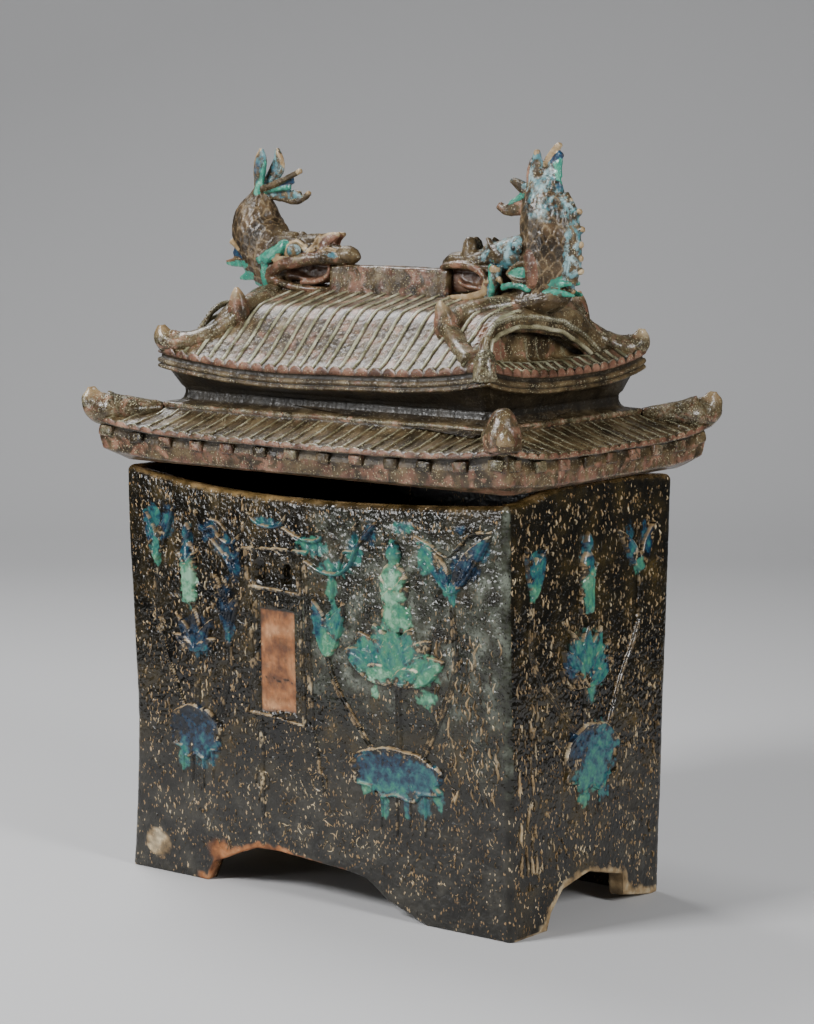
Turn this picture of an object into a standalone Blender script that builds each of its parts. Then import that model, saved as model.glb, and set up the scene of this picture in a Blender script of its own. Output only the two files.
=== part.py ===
"""A glazed stoneware burial urn in the shape of a small palace: a footed box and the roof that rests on it.

The origin is on the floor under the middle of the box. The front looks along -Y, +X is its right-hand side
and +Z is up. All lengths are in metres.
"""

import math

import bmesh
import bpy
from mathutils import Vector

# Box: overall sizes and walls
RIM_HALF_WIDTH = 0.216
RIM_HALF_DEPTH = 0.1267
FOOT_HALF_WIDTH = 0.2177
FRONT_FOOT_DEPTH = 0.1180
BACK_FOOT_DEPTH = 0.1090
BOX_HEIGHT = 0.3845
BOX_WALL = 0.015
BOX_CORNER_RADIUS = 0.006
RIM_EDGE = 0.0055
FLOOR_UNDERSIDE = 0.047
ARCH_CROWN = 0.0062
FLOOR_THICKNESS = 0.014

# Left wall: how much further out it stands than the right one at the rim, its waist and the foot
LEFT_FLARE = (0.0098, 0.0037, 0.0143)
WAIST_HEIGHT = 0.15
LEFT_FOOT_START = -0.178

# Rim: it sagged at the front in the kiln, and the lid sits on the high places
REST_RISE = 0.0052
FRONT_CORNER_DROP = 0.0045
FRONT_SAG = 0.0165
SAG_POWERS = (3.0, 1.6)
SIDE_CROWN_MIDDLE = 0.014
SIDE_CROWN_REACH = 0.112
BACK_CROWN_REACH = 0.190

# Foot arches: where they stand, and their line as shares of span and rise
FRONT_ARCH = (-0.134, 0.122)
FRONT_ARCH_SHAPE = (
    (0, 0), (0.033, 0.45), (0.16, 0.8), (0.24, 0.98), (0.35, 1), (0.64, 0.87), (0.74, 0.78), (0.83, 0.4), (1, 0),
)
SIDE_ARCH = (-0.0710, 0.1124)
SIDE_ARCH_SHAPE = (
    (0, 0), (0.032, 0.34), (0.136, 0.79), (0.376, 1), (0.550, 0.82), (0.697, 0.68), (0.709, 0.20), (1, 0),
)

# Faces: the half width, half depth and height on which the places below and in the reliefs are laid out
LAYOUT = (0.216, 0.1267, 0.3845)

# Door panel and the two slots above it
PANEL = (-0.064, -0.022, 0.172, 0.265)
PANEL_RECESS = 0.0012
SLOT_MIDDLES = ((-0.0605, 0.2990), (-0.0310, 0.2985))
SLOT_SIZE = (0.0065, 0.0160)

# Relief on the faces
RELIEF_ROOT = 0.003
PETAL_ROOT = 0.0011
STEM_WIDTH = 0.0045
STEM_PROUD = 0.0016
LEAF_PROUD = 0.0042
PETAL_PROUD = 0.0046
FIGURE_PROUD = 0.0065
LINE_PROUD = 0.0018
BRANCH_WIDTH = 0.0065
BRANCH_PROUD = 0.0025
CUT_START = 0.010

# Lid: the rim it fits, where it rests, and its walls. Its heights are taken from the land it rests on
REST_CLEARANCE = 0.0003
LAND_OVERHANG = 0.005
LAND_WIDTH = 0.026
LID_WALL = 0.011

# Lower roof: how far each part stands out past the one under it in X and in Y, and heights
FASCIA_OVERHANG = (0.0163, 0.0236)
FASCIA_BOTTOM = 0.0045
EAVE_OVERHANG = (0.0062, 0.0087)
EAVE_BOTTOM = 0.0272
TILE_END = 0.0050
CORNER_SWEEP = 0.0115
LOWER_TILE_PITCH = 0.0152
LOWER_TILE_HEIGHT = 0.0016
LOWER_HORN_RISE = 0.0258
DENTIL_PITCH = 0.0355
DENTIL_SIZE = (0.0145, 0.0045, 0.0090)
DENTIL_BOTTOM = 0.0172
DENTIL_ROOT = 0.006
DENTIL_SWEEP = 0.0075

# Neck and mouldings between the roofs
LOWER_SLOPE = (0.0480, 0.0465)
TORUS_TOP = 0.0535
NECK_INSET = (0.0130, 0.0120)
NECK_WAIST = 0.0650
MOULDING_OVERHANG = (0.0139, 0.0198)
MOULDING_BOTTOM = 0.0740
MOULDING_STEP = 0.0048

# Upper roof
UPPER_EAVE_BOTTOM = 0.0872
UPPER_TILE_END = 0.0038
UPPER_SWEEP = 0.0125
SWEEP_FADE = (0.0940, 0.0360)
UPPER_TILE_PITCH = 0.0150
UPPER_SIDE_PITCH = 0.0132
UPPER_TILE_HEIGHT = 0.0026
UPPER_HORN_RISE = 0.0235
NEAR_STUB_RISE = 0.0170
SLOPE_TOP = 0.1550
SLOPE_TOP_HALF_DEPTH = 0.0120
SKIRT_DEPTH = 0.0247
GABLE_SILL = 0.0972
GABLE_SILL_SAG = 0.0020
GABLE_SPAN = (-0.0885, 0.0800)
GABLE_RISE = 0.0355
GABLE_SHAPE = ((0, 0), (0.07, 0.62), (0.14, 0.88), (0.28, 1), (0.44, 0.95), (0.65, 0.80), (0.79, 0.51), (1, 0))
GABLE_RECESS = 0.0150
HOOD_RADIUS = 0.0036
HOOD_PLATE = (0.0070, 0.0008)
HOOD_PLATE_DROP = 0.0150
HOOD_LINE = (
    (-0.0985, 0.1060), (-0.0940, 0.1250), (-0.0840, 0.1335), (-0.0704, 0.1385), (-0.0482, 0.1412),
    (-0.0049, 0.1376), (0.0301, 0.1303), (0.0780, 0.1150), (0.0954, 0.0965),
)
RIDGE_RISE = 0.0245
RIDGE_HALF_WIDTH = 0.1500
RIDGE_HALF_THICKNESS = 0.0095
RIDGE_FOOT = (-0.012, 0.004)
RIDGE_TOP_EDGE = (0.004, 0.002)
DESCENDING_START = (0.1400, 0.0080)
DESCENDING_HORNS = {
    (-1, -1): (0.1290, 0.0740), (1, -1): (0.1135, 0.0770), (1, 1): (0.1450, 0.0750), (-1, 1): (0.1320, 0.0750),
}
DESCENDING_HORN_RISE = 0.0285
NEAR_CORNER = (1, -1)

# Fish-dragons, as (outward from the ridge's end, above the slopes' top, radius along the ridge, radius across)
BODY_SPINE = (
    (-0.012, 0.000, 0.024, 0.0190), (0.005, 0.017, 0.031, 0.0220), (0.018, 0.035, 0.030, 0.0240),
    (0.022, 0.053, 0.027, 0.0245), (0.018, 0.070, 0.022, 0.0205), (0.011, 0.097, 0.011, 0.0100),
)
HEAD_SPINE = (
    (0.000, 0.027, 0.022, 0.0190), (-0.022, 0.032, 0.021, 0.0210), (-0.044, 0.033, 0.017, 0.0195),
    (-0.065, 0.031, 0.0105, 0.0165), (-0.096, 0.0285, 0.0075, 0.0100),
)
JAW_SPINE = (
    (0.000, 0.012, 0.014, 0.0180), (-0.030, 0.004, 0.0085, 0.0175), (-0.062, 0.0002, 0.0052, 0.0140),
    (-0.096, 0.0001, 0.0030, 0.0060),
)
TAIL_LOBES = {
    -1: ((0.0160, 0.1320, -0.006), (-0.0050, 0.1310, 0.007), (-0.0340, 0.1110, -0.008), (-0.0460, 0.0895, 0.008)),
    1: ((0.0300, 0.1390, -0.006), (0.0020, 0.1335, 0.007), (-0.0270, 0.1065, -0.008), (-0.0400, 0.0840, 0.008)),
}
CHEEK_FINS = ((0.036, 0.043), (0.040, 0.023), (0.025, 0.007), (0.008, 0.001))
BACK_KNOBS = ((0.0405, 0.0820), (0.0510, 0.0655), (0.0535, 0.0480), (0.0520, 0.0310), (0.0435, 0.0140))


def mix(a, b, share):
    return a + (b - a) * share


def smooth(share):
    share = max(0.0, min(1.0, share))
    return share * share * (3 - 2 * share)


def material(name, colour, roughness):
    """A fired surface: one colour and how dull it is."""
    made = bpy.data.materials.new(name)
    made.use_nodes = True
    shader = made.node_tree.nodes["Principled BSDF"]
    shader.inputs["Base Color"].default_value = (*colour, 1)
    shader.inputs["Roughness"].default_value = roughness
    shader.inputs["Metallic"].default_value = 0.0
    return made


def add_skin(into, rings):
    """Adds an open skin through rings of points, all with one count. Points that coincide become one."""
    count = len(rings[0])
    skin = bmesh.new()
    bmesh.ops.create_grid(skin, x_segments=count, y_segments=len(rings) - 1, size=1)
    skin.verts.ensure_lookup_table()
    for row, ring in enumerate(rings):
        for column in range(count + 1):
            skin.verts[row * (count + 1) + column].co = ring[column % count]
    bmesh.ops.remove_doubles(skin, verts=skin.verts, dist=2e-6)
    pour(skin, into)


def pour(skin, into):
    passing = bpy.data.meshes.new("passing")
    skin.to_mesh(passing)
    skin.free()
    into.from_mesh(passing)
    bpy.data.meshes.remove(passing)


def close_skin(skin, into):
    """Fills the open ends of a skin, turns its faces outwards and adds it."""
    bmesh.ops.holes_fill(skin, edges=[e for e in skin.edges if e.is_boundary], sides=0)
    bmesh.ops.recalc_face_normals(skin, faces=skin.faces)
    pour(skin, into)


def add_shell(into, rings):
    """Adds one closed skin through rings of points."""
    skin = bmesh.new()
    add_skin(skin, rings)
    close_skin(skin, into)


def loops_of(skin):
    """The open rims of a mesh as lists of edges, lowest first."""
    left = {e for e in skin.edges if e.is_boundary}
    loops = []
    while left:
        loop = []
        front = [left.pop()]
        while front:
            edge = front.pop()
            loop.append(edge)
            near = {e for v in edge.verts for e in v.link_edges if e in left}
            left -= near
            front.extend(near)
        loops.append(loop)
    return sorted(loops, key=lambda loop: sum(e.verts[0].co.z for e in loop) / len(loop))


def add_banded_shell(into, bands):
    """One closed skin from bands of rings, lowest first. Each band has its own count of points."""
    skin = bmesh.new()
    for rings in bands:
        add_skin(skin, rings)
    loops = loops_of(skin)
    for lower, upper in zip(loops[1:-1:2], loops[2:-1:2]):
        bmesh.ops.bridge_loops(skin, edges=lower + upper)
    close_skin(skin, into)


def add_box(into, low, high):
    corners = [(low[0], low[1]), (high[0], low[1]), (high[0], high[1]), (low[0], high[1])]
    add_shell(into, [[(x, y, z) for x, y in corners] for z in (low[2], high[2])])


def add_tube(into, path, radii, sides=6, up=(0, 0, 1)):
    """A tapering bar along a path; each radius is a pair, across the path level and upright."""
    rings = []
    points = [Vector(p) for p in path]
    for i, point in enumerate(points):
        before, after = points[max(i - 1, 0)], points[min(i + 1, len(points) - 1)]
        ahead = (after - before).normalized()
        across = ahead.cross(Vector(up)).normalized()
        upright = across.cross(ahead)
        level, high = radii[i]
        turns = [2 * math.pi * (k + 0.5) / sides for k in range(sides)]
        rings.append([point + across * level * math.cos(t) + upright * high * math.sin(t) for t in turns])
    add_shell(into, rings)


def finish(name, mesh_in, finish_material):
    mesh = bpy.data.meshes.new(name)
    bmesh.ops.triangulate(mesh_in, faces=mesh_in.faces)
    mesh_in.to_mesh(mesh)
    mesh_in.free()
    made = bpy.data.objects.new(name, mesh)
    bpy.context.scene.collection.objects.link(made)
    made.data.materials.append(finish_material)
    return made


def combine(target, other, operation, self_crossing=False):
    """Joins another mesh to the target or cuts it away, and leaves that mesh out of the model."""
    other.hide_render = True
    other.display_type = "WIRE"
    step = target.modifiers.new(other.name, "BOOLEAN")
    step.operation = operation
    step.object = other
    step.solver = "EXACT"
    step.use_self = self_crossing


def ring_plan(half_width, half_depth, radius, x_stops, y_stops, arc=1):
    """Plan of a round-cornered rectangle, from the front left corner, as (x, y, side, place along the side)."""
    points = []
    for side in range(4):
        along, across = (half_width, half_depth) if side % 2 == 0 else (half_depth, half_width)
        stops = x_stops if side % 2 == 0 else y_stops
        if side >= 2:
            stops = [-s for s in reversed(stops)]
        reach = along - radius
        run = [(max(-reach, min(reach, s)), across) for s in stops]
        for step in range(1, arc + 1):
            turn = math.pi / 2 * step / (arc + 1)
            run.append((reach + radius * math.sin(turn), across - radius + radius * math.cos(turn)))
        for t, n in run:
            x, y = ((t, -n), (n, t), (-t, n), (-n, -t))[side]
            points.append((x, y, side, t / along))
    return points


# Box

def half_depth_at(z, back=False):
    return mix(BACK_FOOT_DEPTH if back else FRONT_FOOT_DEPTH, RIM_HALF_DEPTH, z / BOX_HEIGHT)


def half_width_at(z):
    return mix(FOOT_HALF_WIDTH, RIM_HALF_WIDTH, z / BOX_HEIGHT)


def left_flare_at(z):
    """The left wall draws in at its waist between the rim and the foot."""
    rim, waist, foot = LEFT_FLARE
    if z > WAIST_HEIGHT:
        return mix(waist, rim, smooth((z - WAIST_HEIGHT) / (BOX_HEIGHT * 0.9 - WAIST_HEIGHT)))
    return mix(waist, foot, (1 - z / WAIST_HEIGHT) ** 1.6)


def wall_point(side, t, proud, z):
    """A point on a face of the box: t runs along the layout in +X or +Y, and proud stands out of the face."""
    t *= RIM_HALF_WIDTH / LAYOUT[0] if side in ("front", "back") else RIM_HALF_DEPTH / LAYOUT[1]
    z *= BOX_HEIGHT / LAYOUT[2]
    return {
        "front": (t, -half_depth_at(z) - proud, z),
        "back": (t, half_depth_at(z, back=True) + proud, z),
        "right": (half_width_at(z) + proud, t, z),
        "left": (-half_width_at(z) - left_flare_at(z) - proud, t, z),
    }[side]


def crown(place, half, middle, reach, base):
    """Rim height along a side: it rises to a level stretch where the lid rests."""
    lift = 1.35 * math.cos(math.pi / 2 * min(1, abs(place * half - middle) / reach))
    return mix(base, BOX_HEIGHT + REST_RISE, min(1, max(0, lift)))


def rim_height(side, place):
    left, right = BOX_HEIGHT, BOX_HEIGHT - FRONT_CORNER_DROP
    if side == 0:
        power, corner = (SAG_POWERS[0], left) if place < 0 else (SAG_POWERS[1], right)
        lowest = left - FRONT_SAG
        return lowest + (corner - lowest) * abs(place) ** power
    if side == 2:
        return crown(place, RIM_HALF_WIDTH, 0, BACK_CROWN_REACH, BOX_HEIGHT)
    front_corner = right if side == 1 else left
    forward = place if side == 1 else -place
    base = mix(front_corner, BOX_HEIGHT, (forward + 1) / 2)
    return crown(forward, RIM_HALF_DEPTH, SIDE_CROWN_MIDDLE, SIDE_CROWN_REACH, base)


def arch_height(span, shape, t):
    rise = FLOOR_UNDERSIDE - ARCH_CROWN
    share = (t - span[0]) / (span[1] - span[0])
    for (a, low), (b, high) in zip(shape, shape[1:]):
        if a <= share <= b:
            return rise * mix(low, high, (share - a) / (b - a))
    return 0.0


def underside(side, x, y):
    """Height of the wall's lower edge: the floor at a foot, higher in an arch."""
    if side % 2 == 0:
        return arch_height(FRONT_ARCH, FRONT_ARCH_SHAPE, x)
    return arch_height(SIDE_ARCH, SIDE_ARCH_SHAPE, y)


def arch_stops(span, shape):
    return [mix(span[0], span[1], share) for share, _ in shape]


def box_ring(inset, height):
    """One ring of the box, inset from its faces; height(side, place, x, y) gives each point's height."""
    x_stops = sorted([-1, 1, LEFT_FOOT_START, 0.165, *arch_stops(FRONT_ARCH, FRONT_ARCH_SHAPE)])
    y_stops = sorted([-1, 1, -0.1, *arch_stops(SIDE_ARCH, SIDE_ARCH_SHAPE)])
    radius = max(0.001, BOX_CORNER_RADIUS - inset)
    plan = ring_plan(RIM_HALF_WIDTH - inset, RIM_HALF_DEPTH - inset, radius, x_stops, y_stops)
    ring = []
    for x, y, side, place in plan:
        z = height(side, place, x, y)
        wide = x * (half_width_at(z) - inset) / (RIM_HALF_WIDTH - inset)
        deep = y * (half_depth_at(z, back=y > 0) - inset) / (RIM_HALF_DEPTH - inset)
        if x < LEFT_FOOT_START:
            wide -= left_flare_at(z)
        ring.append((wide, deep, z))
    return ring


def box_shell(into):
    def level(z):
        return lambda side, place, x, y: z

    def rim(drop):
        return lambda side, place, x, y: rim_height(side, place) - drop

    def foot(side, place, x, y):
        return underside(side, x, y)

    add_shell(into, [
        box_ring(BOX_WALL, level(FLOOR_UNDERSIDE + FLOOR_THICKNESS)),
        box_ring(BOX_WALL, rim(0.004)),
        box_ring(BOX_WALL - 0.003, rim(0)),
        box_ring(RIM_EDGE, rim(0)),
        box_ring(RIM_EDGE * 0.3, rim(RIM_EDGE * 0.3)),
        box_ring(0, rim(RIM_EDGE)),
        box_ring(0, level(WAIST_HEIGHT)),
        box_ring(0, level(FLOOR_UNDERSIDE + FLOOR_THICKNESS)),
        box_ring(0, foot),
        box_ring(BOX_WALL, foot),
        box_ring(BOX_WALL, level(FLOOR_UNDERSIDE)),
    ])


# Relief on the box

def add_ridge(into, side, points, width=STEM_WIDTH, proud=STEM_PROUD):
    """A raised line with a sharp back along points (t, z) on a face."""
    rings = []
    for i, (t, z) in enumerate(points):
        before, after = points[max(i - 1, 0)], points[min(i + 1, len(points) - 1)]
        run, rise = after[0] - before[0], after[1] - before[1]
        length = math.hypot(run, rise)
        nt, nz = -rise / length * width / 2, run / length * width / 2
        rings.append([
            wall_point(side, t - nt, -RELIEF_ROOT, z - nz),
            wall_point(side, t, proud, z),
            wall_point(side, t + nt, -RELIEF_ROOT, z + nz),
        ])
    add_shell(into, rings)


def stem_points(top, foot, bow, stations=4):
    """A stem's line from top to foot; bow moves its lower part sideways before it turns in to the foot."""
    points = []
    for i in range(stations):
        share = i / (stations - 1)
        t = mix(top[0], foot[0], smooth(share) ** 1.6) + bow * math.sin(math.pi * share) * (1 - share)
        points.append((t, mix(top[1], foot[1], share)))
    return points


def add_pad(into, side, outline, crest, proud):
    """A raised form over an outline of points (t, z) on a face, highest at its crest and sunk a little into it."""
    spread = 1 + PETAL_ROOT / proud
    base = [(mix(crest[0], t, spread), mix(crest[1], z, spread)) for t, z in outline]
    top = wall_point(side, crest[0], proud, crest[1])
    add_shell(into, [[wall_point(side, t, -PETAL_ROOT, z) for t, z in base], [top] * len(base)])


def add_petal(into, side, root, tip, width, proud=PETAL_PROUD):
    """A pointed petal from root to tip, with its crest a little past the middle."""
    along = (tip[0] - root[0], tip[1] - root[1])
    length = math.hypot(*along)
    nt, nz = -along[1] / length * width / 2, along[0] / length * width / 2
    outline = []
    for share, wide in ((0, 0), (0.36, 1), (0.70, 0.9), (1, 0), (0.70, -0.9), (0.36, -1)):
        outline.append((mix(root[0], tip[0], share) + nt * wide, mix(root[1], tip[1], share) + nz * wide))
    add_pad(into, side, outline, (mix(root[0], tip[0], 0.55), mix(root[1], tip[1], 0.55)), proud)


def add_lotus(into, side, middle, width, height, petals=6):
    """An open lotus flower: petals fan from a low root, the outer ones nearly level."""
    root = (middle[0], middle[1] - height * 0.42)
    for i in range(petals):
        share = i / (petals - 1) * 2 - 1
        turn = share * math.radians(76)
        reach = mix(height * 0.92, width * 0.52, abs(share) ** 1.5)
        tip = (root[0] + reach * math.sin(turn), root[1] + reach * math.cos(turn) + height * 0.10 * abs(share))
        near = (root[0] + 0.003 * share, root[1])
        add_petal(into, side, near, tip, width * 0.21)


def add_leaf(into, side, middle, width, height, points=10):
    """A round lotus leaf seen on its side, with a wavy lower edge and runs of glaze under it."""
    outline = []
    for i in range(points):
        turn = 2 * math.pi * i / points
        wave = 0.88 + (0.12 if i % 2 else -0.06) if math.sin(turn) < -0.1 else 1.0
        out, up = width / 2 * math.cos(turn), height / 2 * math.sin(turn)
        outline.append((middle[0] + out * wave, middle[1] + up * wave))
    add_pad(into, side, outline, (middle[0], middle[1] + height * 0.08), LEAF_PROUD)
    for share in (-0.22, 0.03, 0.24):
        top = (middle[0] + width * share, middle[1] - height * 0.36)
        add_ridge(into, side, [top, (top[0], top[1] - height * 0.62)], 0.006, LINE_PROUD)


def add_forked_leaf(into, side, base, left, right, height):
    """A folded leaf with two pointed ends that spread from its stalk like a V."""
    t, z = base
    for reach in (-left, right):
        add_petal(into, side, (t - reach * 0.10, z), (t + reach, z + height), 0.015, LEAF_PROUD)


def add_bud(into, side, base, width, height):
    """A bud with three petals."""
    for lean, tall in ((-0.46, 0.98), (0.05, 0.82), (0.46, 1.0)):
        root = (base[0] + lean * width * 0.16, base[1])
        add_petal(into, side, root, (base[0] + lean * width, base[1] + height * tall), width * 0.42, LEAF_PROUD)


def add_figure(into, side, t, hem, height, width):
    """A standing robed figure, half sunk in the wall: hem, knees, sleeves, shoulders, neck, head."""
    levels = (
        (0.0, 1.0, 0.7), (0.30, 0.80, 0.85), (0.56, 0.92, 1.0), (0.74, 0.72, 0.8),
        (0.80, 0.30, 0.7), (0.90, 0.42, 0.95), (1.0, 0.16, 0.5),
    )
    rings = []
    for up, wide, deep in levels:
        half = width / 2 * wide
        proud = FIGURE_PROUD * deep
        section = (
            (-1, -RELIEF_ROOT), (-0.85, proud * 0.5), (-0.4, proud),
            (0.4, proud), (0.85, proud * 0.5), (1, -RELIEF_ROOT),
        )
        rings.append([wall_point(side, t + half * s, out, hem + height * up) for s, out in section])
    add_shell(into, rings)


def add_gate(into):
    """The shrine gate: paired posts, beams, two bent eaves and the posts' long feet."""
    left, right, low, high = PANEL
    line = {"width": 0.0045, "proud": LINE_PROUD}
    for top, foot in (
        ((left - 0.014, 0.3165), (left - 0.007, 0.1695)),
        ((left - 0.005, 0.3165), (left - 0.003, 0.1690)),
        ((right + 0.005, 0.3165), (right + 0.010, 0.1660)),
        ((right + 0.012, 0.3165), (right + 0.018, 0.1570)),
        ((left + 0.001, 0.160), (left + 0.0005, 0.072)),
        ((right + 0.020, 0.157), (right + 0.030, 0.107)),
    ):
        add_ridge(into, "front", [top, foot], **line)
    for ends in (
        ((left - 0.018, 0.318), (right + 0.016, 0.3205)),
        ((left - 0.0085, 0.2835), (right + 0.0105, 0.2815)),
        ((left - 0.0110, 0.1675), (right + 0.0215, 0.1620)),
    ):
        add_ridge(into, "front", ends, 0.0055, LINE_PROUD * 1.3)
    for eave in (
        [(-0.074, 0.350), (-0.063, 0.343), (-0.051, 0.340), (-0.040, 0.343), (-0.029, 0.351)],
        [(-0.033, 0.339), (-0.016, 0.3345), (0.010, 0.332), (0.020, 0.338)],
    ):
        add_ridge(into, "front", eave, 0.006, BRANCH_PROUD)


def add_ribbons(into):
    """Curling branches at both sides of the gate."""
    for branch in (
        [(-0.010, 0.313), (0.012, 0.305), (0.032, 0.306), (0.045, 0.317), (0.053, 0.332), (0.073, 0.352)],
        [(0.023, 0.304), (0.022, 0.282)],
        [(-0.136, 0.346), (-0.128, 0.333), (-0.112, 0.334), (-0.095, 0.322), (-0.081, 0.316)],
        [(-0.119, 0.320), (-0.103, 0.309), (-0.095, 0.294)],
    ):
        add_ridge(into, "front", branch, BRANCH_WIDTH, BRANCH_PROUD)


def add_reliefs(into):
    add_gate(into)
    add_ribbons(into)
    # Front, left of the gate
    add_forked_leaf(into, "front", (-0.189, 0.300), 0.014, 0.025, 0.048)
    add_ridge(into, "front", stem_points((-0.189, 0.298), (-0.160, 0.165), -0.002))
    add_figure(into, "front", -0.149, 0.261, 0.076, 0.021)
    add_lotus(into, "front", (-0.142, 0.233), 0.046, 0.040, 5)
    add_ridge(into, "front", [(-0.141, 0.214), (-0.143, 0.165)])
    add_leaf(into, "front", (-0.144, 0.138), 0.068, 0.054)
    # Front, right of the gate
    add_bud(into, "front", (0.016, 0.229), 0.044, 0.050)
    add_ridge(into, "front", stem_points((0.016, 0.231), (0.066, 0.152), -0.001))
    add_figure(into, "front", 0.094, 0.261, 0.080, 0.036)
    add_lotus(into, "front", (0.093, 0.240), 0.108, 0.050, 7)
    add_ridge(into, "front", [(0.096, 0.222), (0.096, 0.154)])
    add_forked_leaf(into, "front", (0.156, 0.300), 0.038, 0.044, 0.048)
    add_ridge(into, "front", stem_points((0.156, 0.302), (0.123, 0.150), 0.020))
    add_leaf(into, "front", (0.092, 0.132), 0.104, 0.048)
    # Right-hand side
    add_lotus(into, "right", (-0.011, 0.236), 0.078, 0.060, 5)
    add_ridge(into, "right", [(-0.010, 0.214), (-0.009, 0.166)])
    add_leaf(into, "right", (-0.001, 0.144), 0.082, 0.066)
    add_figure(into, "right", -0.009, 0.275, 0.072, 0.025)
    add_forked_leaf(into, "right", (0.075, 0.303), 0.038, 0.020, 0.043)
    add_ridge(into, "right", stem_points((0.075, 0.303), (0.026, 0.172), 0.012))
    add_bud(into, "right", (-0.088, 0.297), 0.034, 0.048)
    add_ridge(into, "right", stem_points((-0.090, 0.297), (-0.030, 0.170), -0.014))
    # Back and left: plainer lotus plants
    for side, t in (("back", -0.105), ("back", 0.105), ("left", -0.010)):
        add_lotus(into, side, (t, 0.240), 0.090, 0.055, 5)
        add_ridge(into, side, [(t, 0.218), (t, 0.158)])
        add_leaf(into, side, (t, 0.136), 0.090, 0.055)


def cut_front(into):
    """Takes the shallow door panel and the two slots out of the front wall."""
    left, right, low, high = PANEL
    add_shell(into, [
        [wall_point("front", t, proud, z) for t, z in ((left, low), (right, low), (right, high), (left, high))]
        for proud in (CUT_START, -PANEL_RECESS)
    ])
    for t, z in SLOT_MIDDLES:
        wide, tall = SLOT_SIZE[0] / 2, SLOT_SIZE[1] / 2
        corners = ((t - wide, z - tall), (t + wide, z - tall), (t + wide, z + tall), (t - wide, z + tall))
        add_shell(into, [
            [wall_point("front", x, proud, up) for x, up in corners] for proud in (CUT_START, -2 * BOX_WALL)
        ])


# Lid

def outward(*steps):
    """Half width and half depth of the rim grown by steps in X and in Y."""
    return RIM_HALF_WIDTH + sum(s[0] for s in steps), RIM_HALF_DEPTH + sum(s[1] for s in steps)


def inward(step):
    return -step[0], -step[1]


FASCIA = outward(FASCIA_OVERHANG)
EAVE = outward(FASCIA_OVERHANG, EAVE_OVERHANG)
TORUS = outward(FASCIA_OVERHANG, EAVE_OVERHANG, inward(LOWER_SLOPE))
NECK = outward(FASCIA_OVERHANG, EAVE_OVERHANG, inward(LOWER_SLOPE), inward(NECK_INSET))
MOULDING = (NECK[0] + MOULDING_OVERHANG[0], NECK[1] + MOULDING_OVERHANG[1])
GABLE_HALF_WIDTH = MOULDING[0] - SKIRT_DEPTH


def tile_stops(half, pitch):
    """Places of valleys and crests along a side, from end to end, with the crests a pitch apart."""
    count = max(2, round(2 * half / pitch))
    step = 2 * half / count
    return [-half + step * i / 2 for i in range(2 * count + 1)]


def tier_ring(half, z, lift=0.0, radius=0.002, stops=None, tile=0.0, lean=0.5, power=5):
    """One ring of the roof: lift raises its corners, and tile raises each second stop as a tile roll."""
    half_width, half_depth = half
    bend = 0.6 if power > 3 else 0.8
    x_stops, y_stops = stops or ([-1, -bend * half_width, 0.0, bend * half_width, 1], [-1, 0.0, 1])
    ring = []
    index = 0
    for x, y, side, place in ring_plan(half_width, half_depth, radius, x_stops, y_stops):
        row = x_stops if side % 2 == 0 else y_stops
        here = index % (len(x_stops) + len(y_stops) + 2)
        here = here if here < len(x_stops) + 1 else here - len(x_stops) - 1
        limit = (half_width if side % 2 == 0 else half_depth) - radius
        crest = stops and here % 2 == 1 and here < len(row) and abs(row[here]) < limit - 0.002
        up = tile if crest else 0.0
        nx, ny = ((0, -1), (1, 0), (0, 1), (-1, 0))[side]
        ring.append((x + nx * up * lean, y + ny * up * lean, z + up + lift * abs(place) ** power))
        index += 1
    return ring


def grown(half, step):
    return half[0] + step, half[1] + step


def slope_height(y):
    """The upper roof's height: an even dome below the ridge, then steep, then flared out at the eave."""
    share = (abs(y) - SLOPE_TOP_HALF_DEPTH) / (MOULDING[1] - SLOPE_TOP_HALF_DEPTH)
    share = max(0.0, min(1.0, share))
    even = 0.40
    fall = even * share + (1 - even) * smooth((share - even) / (1 - even))
    return mix(SLOPE_TOP, UPPER_EAVE_BOTTOM + UPPER_TILE_END, fall)


def sweep(z):
    """How far the upper roof's corners are raised at a height."""
    start, fade = SWEEP_FADE
    return UPPER_SWEEP * (1 - smooth((z - start) / fade))


def lower_tiles():
    under_horns = 0.016
    stops = tuple(tile_stops(half - under_horns, LOWER_TILE_PITCH) for half in EAVE)
    return [
        tier_ring(EAVE, EAVE_BOTTOM, CORNER_SWEEP, stops=stops),
        tier_ring(EAVE, EAVE_BOTTOM + TILE_END, CORNER_SWEEP, stops=stops, tile=LOWER_TILE_HEIGHT),
        tier_ring(grown(TORUS, 0.002), TORUS_TOP - 0.007, 0.001, stops=stops, tile=LOWER_TILE_HEIGHT * 0.6),
    ]


def upper_tiles():
    """Rings of the upper roof: the hipped skirt, and above it the slopes that end at the gables."""
    half_width, half_depth = MOULDING
    under_horns = 0.010
    stops = (
        tile_stops(half_width - under_horns, UPPER_TILE_PITCH),
        tile_stops(half_depth - under_horns, UPPER_SIDE_PITCH),
    )
    tile = UPPER_TILE_HEIGHT
    eave = {"stops": stops, "lift": UPPER_SWEEP, "radius": 0.004, "power": 3}
    rings = [
        tier_ring(MOULDING, UPPER_EAVE_BOTTOM, **eave),
        tier_ring(MOULDING, UPPER_EAVE_BOTTOM + UPPER_TILE_END, tile=tile, **eave),
    ]
    for share, inset, radius in ((0.86, 0.0, 0.008), (0.66, 0.0012, 0.013), (0.45, 0.0028, 0.016)):
        row = (GABLE_HALF_WIDTH - inset, half_depth * share)
        z = slope_height(row[1])
        rings.append(tier_ring(row, z, sweep(z), radius, stops, tile, lean=0.3, power=3))
    top = (GABLE_HALF_WIDTH - 0.0215, SLOPE_TOP_HALF_DEPTH)
    rings.append(tier_ring(top, SLOPE_TOP, stops=stops, radius=0.006))
    return rings


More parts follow.
